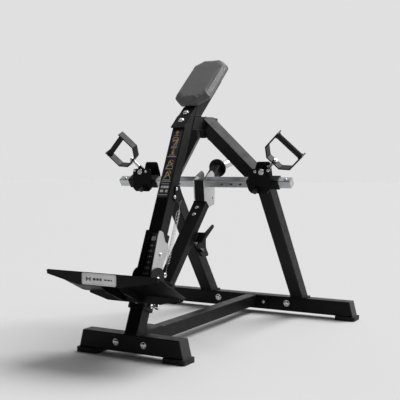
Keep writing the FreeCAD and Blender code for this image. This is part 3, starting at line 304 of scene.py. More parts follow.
def make_vinyl():
    """Grey upholstery vinyl with a fine pebbled grain."""
    vinyl = Finish("pad_vinyl_grained", (0.1, 0.1, 0.102), 0.5)
    pebbles = vinyl.cells(620.0)
    creases = vinyl.cells(330.0, "DISTANCE_TO_EDGE")
    cloud = vinyl.patches(11.0, 4.0, 0.3, 0.75)
    base = vinyl.tint(cloud, (0.098, 0.098, 0.1), (0.118, 0.118, 0.121))
    lightened = vinyl.patches(3.0, 2.0, 0.5, 0.8, high=0.25)
    vinyl.tint(lightened, base, (0.14, 0.14, 0.143))
    vinyl.mottled(90.0, 3.0, 0.42, 0.56)
    vinyl.bump(vinyl.spread(creases, 0.0, 1.0, 0.0, 0.12), 0.09 * MM)
    vinyl.bump(pebbles, 0.05 * MM)
    vinyl.sheen(0.12, 0.4)
    return vinyl.material


def make_plywood():
    """Black stained plywood whose plies show at the edge."""
    ply = Finish("stained_plywood", (0.03, 0.022, 0.016), 0.62)
    grain = ply.noise(40.0, 6.0, (1, 9, 9))
    base = ply.tint(grain, (0.034, 0.026, 0.019), (0.014, 0.011, 0.009))
    plies = ply.add("ShaderNodeTexWave", bands_direction="Z")
    turned = ply.add("ShaderNodeMapping")
    turned.inputs["Rotation"].default_value = (math.radians(-PAD_RISE), 0, 0)
    ply.join(ply.place, turned.inputs["Vector"])
    ply.join(turned.outputs["Vector"], plies.inputs["Vector"])
    plies.inputs["Scale"].default_value = 160.0
    ply.tint(ply.spread(plies.outputs["Fac"], 0.0, 0.5), base, (0.07, 0.05, 0.034))
    ply.roughen(ply.spread(grain, 0.5, 0.75))
    ply.bump(grain, 0.15 * MM)
    return ply.material


def make_rubber(name, shade, grain, depth):
    """Moulded rubber: matt, slightly bloomed, with a fine stipple."""
    rubber = Finish(name, grey(shade), 0.75, specular=0.35)
    bloom = rubber.patches(18.0, 5.0, 0.4, 0.8)
    rubber.tint(bloom, grey(shade), (shade * 2.2, shade * 2.2, shade * 2.15))
    rubber.mottled(130.0, 3.0, 0.62, 0.85)
    rubber.bump(rubber.noise(grain, 3.0), depth)
    return rubber.material


def make_plastic(name, shade, roughness, depth):
    """Injection moulded plastic with a spark-eroded texture."""
    plastic = Finish(name, grey(shade), roughness)
    # lighter along its edges
    plastic.tint(plastic.edge_mask(0.6 * MM, 0.6), grey(shade), grey(shade * 3))
    plastic.mottled(200.0, 3.0, roughness - 0.06, roughness + 0.08)
    plastic.bump(plastic.cells(1100.0), depth)
    return plastic.material


def make_print(name, colour, roughness=0.42):
    """Screen-printed ink on vinyl film: nearly flat, with a slight mottle."""
    ink = Finish(name, colour, roughness)
    ink.tint(ink.noise(320.0, 4.0), colour, tuple(0.82 * c for c in colour))
    ink.mottled(150.0, 3.0, roughness - 0.06, roughness + 0.08)
    ink.bump(ink.noise(900.0, 2.0), 0.012 * MM)
    return ink.material


def make_floor(shade):
    """A pale matt studio floor, very slightly uneven in tone."""
    floor = Finish("studio_floor", grey(shade), 0.9, specular=0.1)
    floor.tint(floor.noise(2.0, 3.0), grey(shade), grey(shade * 0.995))
    floor.mottled(30.0, 2.0, 0.88, 0.95)
    return floor.material


# One finish for each material slot of the CAD, under the slot's name.
finishes = {
    "black_paint": powder_coat("satin_black_powder_coat", 0.0042, 0.03, 0.38, 0.05 * MM),
    "carriage_black": powder_coat("deep_black_powder_coat", 0.0035, 0.03, 0.36, 0.04 * MM),
    "handle_grey": powder_coat("graphite_powder_coat", 0.018, 0.06, 0.42, 0.05 * MM),
    "silver_bar": brushed_metal("silver_zinc_bar", (0.56, 0.57, 0.59), 0.3, 0.46, (0.02, 1, 1)),
    "stainless": brushed_metal("brushed_stainless", (0.6, 0.6, 0.6), 0.26, 0.42, (1, 1, 0.03)),
    "chrome": make_chrome(),
    "bronze": make_bronze(),
    "pad_vinyl": make_vinyl(),
    "plywood": make_plywood(),
    "rubber": make_rubber("moulded_rubber", 0.006, 700.0, 0.09 * MM),
    "black_plastic": make_plastic("textured_black_plastic", 0.006, 0.48, 0.06 * MM),
    "nylon": make_plastic("black_nylon", 0.02, 0.38, 0.03 * MM),
    "badge_metal": brushed_metal("brushed_aluminium", (0.66, 0.66, 0.67), 0.3, 0.44, (0.02, 1, 1),
                                 320.0),
}
spring_steel = make_spring_steel()
grip_rubber = make_rubber("grip_rubber", 0.006, 900.0, 0.06 * MM)
thread = make_print("polyester_thread", (0.05, 0.05, 0.052), 0.55)
film_dark = make_print("film_dark_grey", (0.03, 0.031, 0.034), 0.4)
film_black = make_print("film_black", (0.012, 0.012, 0.013), 0.4)
INKS = {
    "white": make_print("ink_white", (0.85, 0.85, 0.83)),
    "cream": make_print("ink_cream", (0.78, 0.72, 0.56)),
    "gold": make_print("ink_gold", (0.66, 0.43, 0.12)),
    "dark": make_print("ink_dark", (0.03, 0.03, 0.032)),
}

for obj in frame["nodes"].values():
    for spot in obj.material_slots:
        packed = spot.material.name.split(".")[0] if spot.material else None
        if packed in finishes:
            spot.material = finishes[packed]

# The deck and its gussets take the deeper black of the carriages: painted shade that keeps the
# deck's underside, which lies in shade, near black.
for name in ("footplate_deck", "footplate_gussets"):
    for spot in frame["nodes"][name].material_slots:
        spot.material = finishes["carriage_black"]

# Sheet metal and plates get a small rounded edge that catches the light.
SHEET_NODES = ("footplate_deck", "footplate_gussets", "footplate_sleeve", "footplate_side_plate",
               "mast_head_plate", "spring_bracket", "rest_plate", "rest_arm", "yoke_plates",
               "left_carriage", "right_carriage", "left_handle_strap", "right_handle_strap",
               "weld_plates", "pivot_bracket", "top_beam_gusset", "footplate_badge", "pad_board",
               "pad_mount_plate", "rubber_feet", "base_end_caps")
for name in SHEET_NODES:
    edge = frame["nodes"][name].modifiers.new("eased_edge", "BEVEL")
    edge.width = 0.5 * MM
    edge.segments = 2
    edge.limit_method = "ANGLE"
    edge.angle_limit = math.radians(50)


# ---------------------------------------------------------------- mesh helpers

def wrap_mesh(name, mesh, material):
    """A smooth shaded object of a mesh, in one material."""
    mesh.shade_smooth()
    mesh.materials.append(material)
    return add_object(name, mesh)


def finish_piece(name, mesh, material, body, slot_name, sharp=35):
    """Wrap a mesh as a piece that rides on a body, creased past an angle in degrees."""
    piece = wrap_mesh(name, mesh, material)
    mesh.set_sharp_from_angle(angle=math.radians(sharp))
    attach(piece, body)
    return piece


def finish_shape(name, shape, *looks):
    """Turn a bmesh into a piece of the same name; looks are finish_piece's."""
    return finish_piece(name, mesh_of(name, shape), *looks)


def mesh_of(name, shape):
    """Turn a bmesh into mesh data with outward normals."""
    bmesh.ops.recalc_face_normals(shape, faces=shape.faces[:])
    mesh = bpy.data.meshes.new(name)
    shape.to_mesh(mesh)
    shape.free()
    return mesh


def add_prism(shape, corners, thickness, origin, across, along):
    """Extrude a flat outline, given as (across, along) pairs, by a thickness."""
    out = across.cross(along).normalized()
    low = [shape.verts.new(origin + across * x + along * y) for x, y in corners]
    high = [shape.verts.new(vert.co + out * thickness) for vert in low]
    shape.faces.new(list(reversed(low)))
    shape.faces.new(high)
    for index in range(len(corners)):
        ahead = (index + 1) % len(corners)
        shape.faces.new((low[index], low[ahead], high[ahead], high[index]))


def loft(shape, rings, closed_ends=True):
    """Skin a list of rings that have the same number of points."""
    rows = [[shape.verts.new(point) for point in ring] for ring in rings]
    count = len(rows[0])
    for lower, upper in zip(rows, rows[1:]):
        for index in range(count):
            ahead = (index + 1) % count
            shape.faces.new((lower[index], lower[ahead], upper[ahead], upper[index]))
    if closed_ends:
        shape.faces.new(list(reversed(rows[0])))
        shape.faces.new(rows[-1])


def sweep(shape, points, radius, segments=8, closed=False):
    """A round tube along points; radius is a number or a function of the index."""
    count = len(points)
    rings = []
    side = None
    for index, point in enumerate(points):
        before = points[index - 1] if index or closed else point
        after = points[(index + 1) % count] if index < count - 1 or closed else point
        way = (after - before).normalized()
        if side is None:
            side = way.orthogonal().normalized()
        side = (side - way * side.dot(way)).normalized()
        lift = way.cross(side)
        size = radius(index) if callable(radius) else radius
        rings.append([point + (side * math.cos(a) + lift * math.sin(a)) * size
                      for a in circle(segments)])
    if closed:
        last = rings[-1][0] - points[-1]
        turn = min(range(segments), key=lambda k: (rings[0][k] - points[0] - last).length)
        loft(shape, rings + [rings[0][turn:] + rings[0][:turn]], False)
        bmesh.ops.remove_doubles(shape, verts=shape.verts[:], dist=1e-7)
    else:
        loft(shape, rings)


def rounded_outline(corners, radius, steps=5):
    """Round every corner of a convex outline with an arc of a few points."""
    result = []
    count = len(corners)
    for index in range(count):
        here = Vector(corners[index])
        back = (Vector(corners[index - 1]) - here).normalized()
        ahead = (Vector(corners[(index + 1) % count]) - here).normalized()
        half = back.angle(ahead) / 2
        setback = radius / math.tan(half)
        centre = here + (back + ahead).normalized() * (radius / math.sin(half))
        start = here + back * setback - centre
        sweep_angle = math.pi - 2 * half
        turn = 1 if back.x * ahead.y - back.y * ahead.x < 0 else -1
        for step in range(steps + 1):
            angle = turn * sweep_angle * step / steps
            c, s = math.cos(angle), math.sin(angle)
            result.append((centre.x + start.x * c - start.y * s,
                           centre.y + start.x * s + start.y * c))
    return result


# ---------------------------------------------------------------- chest pad

PAD_HALF_LENGTH, PAD_HALF_WIDTH, PAD_END_HALF = 201 * MM, 112 * MM, 56 * MM
PAD_THICKNESS = 44 * MM
BEVEL_INSET, BEVEL_DEPTH = 17 * MM, 25 * MM
TUCK = 1.4 * MM  # how far the cover lies inside the CAD pad
PAD_CORNER = 9 * MM
GLUED_HEIGHT = 3 * MM
SWELL = 2.2 * MM  # the most that the filling may push the cover out
SIMULATION_FRAMES = 20
WELT_RADIUS = 0.9 * MM
STITCH_PITCH, THREAD_RADIUS = 4.2 * MM, 0.35 * MM


def octagon(inset):
    """The pad's outline, drawn in by an inset."""
    half_length = PAD_HALF_LENGTH - inset
    half_width = PAD_HALF_WIDTH - inset
    end_half = PAD_END_HALF - inset * math.tan(math.radians(22.5))
    shoulder = half_length - (half_width - end_half)
    return [(-end_half, -half_length), (end_half, -half_length), (half_width, -shoulder),
            (half_width, shoulder), (end_half, half_length), (-end_half, half_length),
            (-half_width, shoulder), (-half_width, -shoulder)]


def pad_ring(inset, height, radius):
    """One ring of the cushion, in the pad's own axes."""
    return [Vector((x, y, height)) for x, y in rounded_outline(octagon(inset), radius)]


def pad_matrix():
    """From the pad's own axes (across, along, out) to the machine's."""
    low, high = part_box("chest_pad")
    middle = (low + high) / 2
    foot = middle - pad_out * (PAD_THICKNESS / 2)
    turn = Matrix((RIGHT, pad_up, pad_out)).transposed().to_4x4()
    return Matrix.Translation(foot) @ turn


def swell(piece):
    """Inflate a closed cushion a little with cloth, and cap how far it may move."""
    scene = bpy.context.scene
    start = [vert.co.copy() for vert in piece.data.vertices]
    cloth = piece.modifiers.new("swell", "CLOTH")
    settings = cloth.settings
    settings.quality = 6
    settings.mass = 0.4
    settings.use_pressure = True
    settings.uniform_pressure_force = 4.0
    settings.tension_stiffness = 40
    settings.compression_stiffness = 40
    settings.bending_stiffness = 12
    settings.effector_weights.gravity = 0
    pinned = piece.vertex_groups.new(name="glued")
    pinned.add([i for i, co in enumerate(start) if co.z < GLUED_HEIGHT], 1.0, "REPLACE")
    settings.vertex_group_mass = "glued"
    for number in range(1, SIMULATION_FRAMES + 1):
        scene.frame_set(number)
    puffed = piece.evaluated_get(bpy.context.evaluated_depsgraph_get())
    ends = [vert.co.copy() for vert in puffed.to_mesh().vertices]
    puffed.to_mesh_clear()
    piece.modifiers.remove(cloth)
    piece.vertex_groups.clear()
    scene.frame_set(1)
    for vert, before, after in zip(piece.data.vertices, start, ends):
        move = after - before
        if move.length > SWELL:
            move = move.normalized() * SWELL
        vert.co = before + move


def apply_modifiers(piece):
    """Give a piece the mesh that its modifiers make."""
    mesh = evaluated_mesh(piece)
    piece.modifiers.clear()
    piece.data = mesh
    return mesh


def build_pad():
    """A crowned octagonal cushion: side band, long bevel and gently domed top."""
    top = PAD_THICKNESS - TUCK
    band_top = top - BEVEL_DEPTH
    profile = (  # inset, height and corner radius of each ring, from the board outward
        (14 * MM, 0.4 * MM, 10 * MM),
        (TUCK + 1.5 * MM, 0.4 * MM, 10 * MM),
        (TUCK, 2.5 * MM, 10 * MM),
        (TUCK + 0.8 * MM, 0.5 * band_top, PAD_CORNER),
        (TUCK, band_top, PAD_CORNER),
        (BEVEL_INSET, top - 0.8 * MM, 7 * MM),
        (BEVEL_INSET + 3 * MM, top, 6 * MM),
        (45 * MM, top + 0.9 * MM, 4 * MM),
        (90 * MM, top + 1.4 * MM, 1.5 * MM),
    )
    shape = bmesh.new()
    loft(shape, [pad_ring(*ring) for ring in profile])
    piece = add_object("chest_cushion", mesh_of("chest_cushion", shape))
    remesh = piece.modifiers.new("even", "REMESH")
    remesh.mode = "VOXEL"
    remesh.voxel_size = 4 * MM
    apply_modifiers(piece)
    swell(piece)
    finer = piece.modifiers.new("finer", "SUBSURF")
    finer.levels = finer.render_levels = 1
    final = apply_modifiers(piece)
    final.name = "chest_cushion"
    final.transform(pad_matrix())
    final.shade_smooth()
    final.materials.clear()
    final.materials.append(finishes["pad_vinyl"])
    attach(piece, "frame")
    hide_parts("chest_pad")
    return piece


def even_steps(points, step):
    """Points at even steps along a closed outline."""
    total = sum((b - a).length for a, b in zip(points, points[1:] + points[:1]))
    count = max(8, round(total / step))
    wanted = [total * k / count for k in range(count)]
    result = []
    walked = 0.0
    target = 0
    for a, b in zip(points, points[1:] + points[:1]):
        length = (b - a).length
        while target < count and wanted[target] <= walked + length + 1e-9:
            result.append(a.lerp(b, (wanted[target] - walked) / max(length, 1e-9)))
            target += 1
        walked += length
    return result


def laid_on(tree, point, out):
    """The nearest point of the cushion's surface, lifted by out along its normal."""
    place, normal, _, _ = tree.find_nearest(point)
    if normal.dot(pad_out) < -0.5:
        normal = -normal
    return place + normal * out


def build_pad_seams(cushion):
    """A welted seam round the bevel's lower edge, with a row of stitches above it."""
    tree = BVHTree.FromPolygons([v.co for v in cushion.data.vertices],
                                [p.vertices for p in cushion.data.polygons])
    place = pad_matrix()
    seam_height = PAD_THICKNESS - BEVEL_DEPTH - 2 * MM
    shape = bmesh.new()
    outline = even_steps(pad_ring(0, seam_height, PAD_CORNER), 3 * MM)
    welt = [laid_on(tree, place @ point, 0.1 * MM) for point in outline]
    sweep(shape, welt, WELT_RADIUS, 8, closed=True)
    finish_shape("pad_welt", shape, finishes["pad_vinyl"], "frame", "pad_vinyl", 60)
    shape = bmesh.new()
    stitch_line = even_steps(pad_ring(1.6 * MM, seam_height + 4.5 * MM, PAD_CORNER), STITCH_PITCH)
    for a, b in zip(stitch_line, stitch_line[1:] + stitch_line[:1]):
        start, end = a.lerp(b, 0.14), a.lerp(b, 0.86)
        spots = [laid_on(tree, place @ start.lerp(end, t), lift * MM)
                 for t, lift in ((0, -0.15), (0.2, 0.18), (0.8, 0.18), (1, -0.15))]
        sweep(shape, spots, THREAD_RADIUS, 6)
    finish_shape("pad_stitches", shape, thread, "frame", "pad_vinyl", 60)


cushion = build_pad()
build_pad_seams(cushion)

# ---------------------------------------------------------------- counterbalance spring

WIRE = 1.15 * MM
COIL_RADIUS = 9.6 * MM
COIL_LENGTH = 0.3
COIL_TURNS, STEPS_PER_TURN = 38, 16
END_STEPS, END_SHRINK = 12, 0.35  # the last steps of the coil draw in to this share of its radius
SPRING_EYE = Vector((44.5 * MM, -0.3692, 0.379))  # the middle of the sleeve's eye
SPRING_HOLE = Vector((44.5 * MM, -0.2072, 0.760))  # the end of the CAD spring at the bracket
BRACKET_X = 40.5 * MM  # the middle of the bracket's plate
EYE_RING = 10 * MM


def hook(centre, facing, lateral, radius):
    """Most of a circle round a wire or plate edge, open towards the coil."""
    return [centre + facing * (-math.cos(a)) * radius + lateral * math.sin(a) * radius
            for a in (math.radians(d) for d in range(-120, 181, 20))]


def build_spring():
    """A tension spring, hooked to the sleeve's eye at one end and to the mast's bracket."""
    way = (SPRING_HOLE - SPRING_EYE).normalized()
    lift = way.cross(RIGHT)
    coil_low = ((SPRING_HOLE - SPRING_EYE).length - COIL_LENGTH) / 2
    coil_high = coil_low + COIL_LENGTH
    points = hook(SPRING_EYE + way * EYE_RING, -way, RIGHT, 5.4 * MM)
    points += [SPRING_EYE + way * (coil_low - 9 * MM),
               SPRING_EYE + way * (coil_low - 4 * MM) + RIGHT * 3 * MM]
    steps = COIL_TURNS * STEPS_PER_TURN
    for step in range(steps + 1):
        angle = 2 * math.pi * COIL_TURNS * step / steps
        eased = min(1.0, step / END_STEPS, (steps - step) / END_STEPS)
        radius = COIL_RADIUS * (END_SHRINK + (1 - END_SHRINK) * eased)
        middle = SPRING_EYE + way * (coil_low + COIL_LENGTH * step / steps)
        points.append(middle + (RIGHT * math.cos(angle) + lift * math.sin(angle)) * radius)
    points += [SPRING_EYE + way * (coil_high + 4 * MM) + RIGHT * 3 * MM,
               SPRING_EYE + way * (coil_high + 9 * MM)]
    plate = Vector((BRACKET_X, SPRING_HOLE.y, SPRING_HOLE.z))
    points += reversed(hook(plate - way * 6.5 * MM, way, RIGHT, 6.2 * MM))
    shape = bmesh.new()
    sweep(shape, points, WIRE, 8)
    piece = wrap_mesh("counterbalance_coil", mesh_of("counterbalance_coil", shape), spring_steel)
    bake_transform(piece)
    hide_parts("counterbalance_spring")


build_spring()

# ---------------------------------------------------------------- grips

GRIP_RADIUS, GRIP_FLANGE = 16 * MM, 19 * MM
GRIP_HALF = 82.9 * MM
FLANGE_WIDTH, FLANGE_EDGE, FLANGE_SLOPE = 5 * MM, 1.2 * MM, 3 * MM
GRIP_RELIEF, RELIEF_PITCH = 0.6 * MM, 6.3 * MM
GRIP_RIBS, GRIP_ROWS = 30, 132


def build_grip(word, side):
    """A rubber grip with end flanges and rows of small pads between grooves.

    The handle's own directions come from its rod's axis: across_up and square_back
    are where its strap's sides would lie without the spin that it has at rest.
    """
    low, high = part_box(f"{word}_grip")
    centre = (low + high) / 2
    way = Vector(joints[f"{word}_handle_spin"]["axis"]).normalized()
    across_up = Vector((-side * way.z, 0, abs(way.x))).normalized()
    square_back = across_up.cross(way) * side
    strap_back = square_back * math.cos(HANDLE_SPIN) + across_up * math.sin(HANDLE_SPIN)
    axis = way.cross(strap_back).normalized()
    lateral = axis.cross(strap_back)
    groove = GRIP_RADIUS - GRIP_RELIEF
    rings = []
    for row in range(GRIP_ROWS + 1):
        height = -GRIP_HALF + 2 * GRIP_HALF * row / GRIP_ROWS
        from_end = GRIP_HALF - abs(height)
        raised = from_end > FLANGE_WIDTH + FLANGE_SLOPE
        if raised:
            base = groove
        elif from_end < FLANGE_WIDTH:
            base = GRIP_FLANGE - 0.8 * MM * (1 - min(1.0, from_end / FLANGE_EDGE))
        else:
            base = GRIP_FLANGE + (groove - GRIP_FLANGE) * (from_end - FLANGE_WIDTH) / FLANGE_SLOPE
        along = 0.5 + 0.5 * math.cos(2 * math.pi * height / RELIEF_PITCH)
        ring = []
        for angle in circle(GRIP_RIBS * 4):
            across = 0.5 + 0.5 * math.cos(GRIP_RIBS * angle)
            relief = GRIP_RELIEF * min(1.0, 2.2 * across * along) if raised else 0.0
            spoke = strap_back * math.cos(angle) + lateral * math.sin(angle)
            ring.append(centre + axis * height + spoke * (base + relief))
        rings.append(ring)
    shape = bmesh.new()
    loft(shape, rings)
    piece = finish_shape(f"{word}_ribbed_grip", shape, grip_rubber, f"{word}_handle", "rubber", 40)
    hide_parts(f"{word}_grip")


for word, side in (("left", -1), ("right", 1)):
    build_grip(word, side)

# ---------------------------------------------------------------- printed panel on the mast

PANEL_LOW, PANEL_HIGH = 0.780, 1.141
PANEL_HALF = 31 * MM
FILM = 0.3 * MM
INK = 0.12 * MM
GLUE = 0.05 * MM  # gap between the mast and a film


class Artwork:
    """Flat printed shapes on a panel, one mesh for each ink; places are in millimetres."""

    def __init__(self, origin, across, along):
        self.origin = origin
        self.across = across
        self.along = along
        self.inks = {}

    def shape(self, ink, corners):
        target = self.inks.setdefault(ink, bmesh.new())
        points = [(x * MM, y * MM) for x, y in corners]
        add_prism(target, points, INK, self.origin, self.across, self.along)

    def bar(self, ink, x, y, width, height):
        self.shape(ink, [(x - width / 2, y - height / 2), (x + width / 2, y - height / 2),
                         (x + width / 2, y + height / 2), (x - width / 2, y + height / 2)])

    def disc(self, ink, x, y, radius):
        self.shape(ink, [(x + radius * math.cos(a), y + radius * math.sin(a))
                         for a in circle(20)])

    def line(self, ink, points, width):
        """A polyline of even width, each run a plate of its own."""
        for (x0, y0), (x1, y1) in zip(points, points[1:]):
            length = math.hypot(x1 - x0, y1 - y0)
            dx, dy = (x1 - x0) / length * width / 2, (y1 - y0) / length * width / 2
            self.shape(ink, [(x0 - dx + dy, y0 - dy - dx), (x1 + dx + dy, y1 + dy - dx),
                             (x1 + dx - dy, y1 + dy + dx), (x0 - dx - dy, y0 - dy + dx)])

    def arc(self, ink, x, y, radius, start, stop, width):
        points = [(x + radius * math.cos(a), y + radius * math.sin(a))
                  for a in (math.radians(d) for d in range(start, stop + 1, 12))]
        self.line(ink, points, width)

    def publish(self, name, body, slot_name):
        for ink, shape in self.inks.items():
            finish_shape(f"{name}_{ink}", shape, INKS[ink], body, slot_name)


def film(name, corners, origin, material):
    """A thin self-adhesive film on the mast's front face."""
    shape = bmesh.new()
    add_prism(shape, [(x * MM, y * MM) for x, y in corners], FILM, origin, RIGHT, mast_up)
    bmesh.ops.bevel(shape, geom=shape.edges[:], offset=FILM * 0.3, segments=1, affect="EDGES")
    finish_shape(name, shape, material, "frame", "badge_metal", 50)


def build_instruction_panel():
    """Generic pictograms: an arrow, a handle, a figure and two lever diagrams, with rules between.

    The drawing's zero is the middle of the panel's top edge, and it runs down to negative y.
    """
    origin = on_mast(PANEL_HIGH, 0, GLUE)
    length = (PANEL_HIGH - PANEL_LOW) / mast_up.z / MM
    half = PANEL_HALF / MM
    outline = rounded_outline([(-half, -length), (half, -length), (half, 0), (-half, 0)], 3.0, 4)
    film("instruction_panel", outline, origin, film_dark)
    art = Artwork(origin + mast_front * FILM, RIGHT, mast_up)
    # an upward arrow over a short rule
    art.shape("gold", [(-12, -22), (0, -6), (12, -22), (5, -22), (5, -32), (-5, -32), (-5, -22)])
    art.bar("cream", 0, -37, 26, 2.4)
    # a handle seen from above, held by an arm
    art.arc("cream", -2, -66, 17, 24, 156, 5.0)
    art.line("gold", [(-14, -70), (14, -64), (-2, -96)], 7.0)
    art.line("cream", [(18, -62), (10, -98)], 3.0)
    for row, width in enumerate((38, 30)):
        art.bar("white", 0, -106 - 6 * row, width, 2.2)
    # a standing figure
    art.disc("gold", 0, -124, 5.5)
    art.shape("gold", [(-9, -133), (9, -133), (5, -148), (-5, -148)])
    art.bar("white", 0, -153.5, 34, 2.2)
    art.bar("white", 0, -163, 54, 2.6)
    # the lever low and the lever high
    for base, tilt in ((-232, 0), (-296, 9)):
        art.line("cream", [(-20, base), (-4, base + 46)], 3.4)
        art.line("cream", [(-4, base + 46), (20, base + 8)], 3.4)
        art.line("gold", [(-16, base + 10), (16, base + 30 + tilt)], 5.0)
        art.line("white", [(-22, base - 2), (22, base - 2)], 2.4)
        art.disc("gold", -8, base + 36, 4.6)
        art.line("gold", [(4, base + 50), (18, base + 42)], 3.6)
    # rules and blank bars at the foot
    art.bar("white", 0, -306, 54, 2.6)
    art.bar("white", 0, -320, 46, 2.4)
    for x, width in ((-17, 10), (-1, 16), (17, 14)):
        art.bar("white", x, -338, width, 13)
    for x, width in ((-13, 20), (15, 14)):
        art.bar("white", x, -361, width, 13)
    art.bar("white", 0, -382, 54, 2.6)
    art.publish("panel_print", "frame", "badge_metal")


build_instruction_panel()

# ---------------------------------------------------------------- height scale in the window

SCALE_LOW, SCALE_HIGH = 0.372, 0.600
SCALE_SHIFT = 7 * MM  # the window lies right of the mast's middle
SCALE_HALF = 17
SCALE_PITCH, SCALE_STEPS = 30.0, 6


def numeral(text, size, origin, across, along, name):
    """Thin mesh data of a printed numeral in the built-in typeface."""
    curve = bpy.data.curves.new(name, "FONT")
    curve.body = text
    curve.size = size
    curve.extrude = INK / 2
    curve.align_x = "CENTER"
    curve.align_y = "CENTER"
    carrier = add_object(name, curve)
    mesh = evaluated_mesh(carrier)
    bpy.data.objects.remove(carrier)
    out = across.cross(along)
    turn = Matrix((across, along, out)).transposed().to_4x4()
    mesh.transform(Matrix.Translation(origin + out * INK / 2) @ turn)
    return mesh


def build_height_scale():
    """A black film with a sign, numerals and a tick on both sides of each."""
    origin = on_mast(SCALE_LOW, SCALE_SHIFT, GLUE)
    length = (SCALE_HIGH - SCALE_LOW) / mast_up.z / MM
    outline = rounded_outline([(-SCALE_HALF, 0), (SCALE_HALF, 0), (SCALE_HALF, length),
                               (-SCALE_HALF, length)], 2.0, 3)
    film("height_scale", outline, origin, film_black)
    art = Artwork(origin + mast_front * FILM, RIGHT, mast_up)
    top = length - 30
    frame_line = [(-9, top - 8), (9, top - 8), (9, top + 8), (-9, top + 8), (-9, top - 8)]
    art.line("white", frame_line, 4.0)
    art.bar("white", 0, top, 6, 6)
    numerals = []
    for step in range(SCALE_STEPS):
        height = top - 38 - SCALE_PITCH * step
        art.bar("white", -12, height, 5, 1.6)
        art.bar("white", 12, height, 5, 1.6)
        place = art.origin + mast_up * (height * MM)
        numerals.append(numeral(str(SCALE_STEPS - step), 17 * MM, place, RIGHT, mast_up,
                                f"numeral_{step}"))
    art.publish("scale_print", "frame", "badge_metal")
    for step, mesh in enumerate(numerals):
        finish_piece(f"scale_numeral_{SCALE_STEPS - step}", mesh, INKS["white"], "frame",
                     "badge_metal")


build_height_scale()

# ---------------------------------------------------------------- footplate badge and tread

BADGE_MARGIN = 5


def build_badge_print():
    """A thin border, a dumbbell sign and blank bars on the footplate's badge."""
    low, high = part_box("footplate_badge")
    middle = Vector(((low.x + high.x) / 2, low.y - 0.02 * MM, (low.z + high.z) / 2))
    art = Artwork(middle, RIGHT, UP)
    half_width = (high.x - low.x) / 2 / MM - BADGE_MARGIN
    half_height = (high.z - low.z) / 2 / MM - BADGE_MARGIN
    border = [(-half_width, -half_height), (half_width, -half_height), (half_width, half_height),
              (-half_width, half_height), (-half_width, -half_height)]
    art.line("dark", border, 0.8)
    art.bar("dark", -60, 0, 26, 4)
    for x, height in ((-72, 22), (-66, 15), (-54, 15), (-48, 22)):
        art.bar("dark", x, 0, 4, height)
    for x, width in ((-26, 16), (-7, 14), (10, 12)):
        art.bar("dark", x, 0, width, 11)
    for x, width in ((38, 14), (56, 14), (71, 8)):
        art.bar("dark", x, 0, width, 7)
    art.publish("badge_print", "footplate", "badge_metal")


DECK_NEAR = Vector((0, -0.8692, 0.4485))  # the middle of the deck's upper front edge
DECK_FAR = Vector((0, -0.5962, 0.3140))  # and of its rear edge
TREAD_WIDTH, TREAD_BORDER, TREAD_PITCH = 0.57, 34 * MM, 22 * MM
STUD_LONG, STUD_SHORT = 9.5 * MM, 3.0 * MM  # a stud's half sizes


def build_tread():
    """Rows of low lozenge studs on the footplate, alternately turned."""
    way = (DECK_FAR - DECK_NEAR).normalized()
    out = RIGHT.cross(way).normalized()
    run = (DECK_FAR - DECK_NEAR).length
    rows = int((run - TREAD_BORDER) / TREAD_PITCH)
    columns = int(TREAD_WIDTH / TREAD_PITCH)
    margin = (run - rows * TREAD_PITCH) / 2
    shape = bmesh.new()
    for row in range(rows + 1):
        for column in range(columns + 1):
            across = (column - columns / 2) * TREAD_PITCH
            centre = DECK_NEAR + way * (margin + row * TREAD_PITCH) + RIGHT * across
            turn = math.radians(45 if (row + column) % 2 else -45)
            long_way = RIGHT * math.cos(turn) + way * math.sin(turn)
            short_way = way * math.cos(turn) - RIGHT * math.sin(turn)
            loft(shape, [[centre + out * height * MM
                          + long_way * (STUD_LONG * size * math.cos(a))
                          + short_way * (STUD_SHORT * size * math.sin(a)) for a in circle(10)]
                         for size, height in ((1.0, -0.1), (0.86, 0.7), (0.6, 1.1))])
    finish_shape("footplate_tread", shape, finishes["black_paint"], "footplate", "black_paint", 60)


build_badge_print()
build_tread()

# ---------------------------------------------------------------- weld beads

WELD_STEP = 1.7 * MM
HAIR = 0.3 * MM  # a cutting plane's distance from the seam itself


def section_loops(node, place, normal):
    """The closed outlines where a plane cuts a CAD node, longest first."""
    cutter = bmesh.new()
    cutter.from_mesh(frame["nodes"][node].data)
    bmesh.ops.remove_doubles(cutter, verts=cutter.verts[:], dist=1e-6)
    everything = cutter.verts[:] + cutter.edges[:] + cutter.faces[:]
    result = bmesh.ops.bisect_plane(cutter, geom=everything, plane_co=place, plane_no=normal,
                                    dist=1e-7)
    edges = [item for item in result["geom_cut"] if isinstance(item, bmesh.types.BMEdge)]
    links = {}
    for edge in edges:
        a, b = edge.verts
        links.setdefault(a, []).append(b)
        links.setdefault(b, []).append(a)
    loops = []
    unused = dict.fromkeys(links)  # a dict keeps its order, so each run walks the same way
    while unused:
        here = next(iter(unused))
        chain = []
        while here is not None:
            del unused[here]
            chain.append(here)
            here = next((vert for vert in links[here] if vert in unused), None)
        if len(chain) > 3:
            loops.append([vert.co.copy() for vert in chain])
    cutter.free()

    def length(loop):
        return sum((b - a).length for a, b in zip(loop, loop[1:] + loop[:1]))
    return sorted(loops, key=length, reverse=True)


def weld(name, loops, body="frame", radius=2.6 * MM, ripple=2 * math.pi / 3):
    """Beads round some outlines, rippled by an angle at each step."""
    shape = bmesh.new()
    for loop in loops:
        bead = bmesh.new()
        sweep(bead, even_steps(loop, WELD_STEP),
              lambda step: radius * (1 + 0.1 * math.sin(step * ripple)), 8, closed=True)
        scratch = bpy.data.meshes.new("scratch")
        bead.to_mesh(scratch)
        bead.free()
        shape.from_mesh(scratch)
        bpy.data.meshes.remove(scratch)
    finish_shape(name, shape, finishes["black_paint"], body, "black_paint", 75)


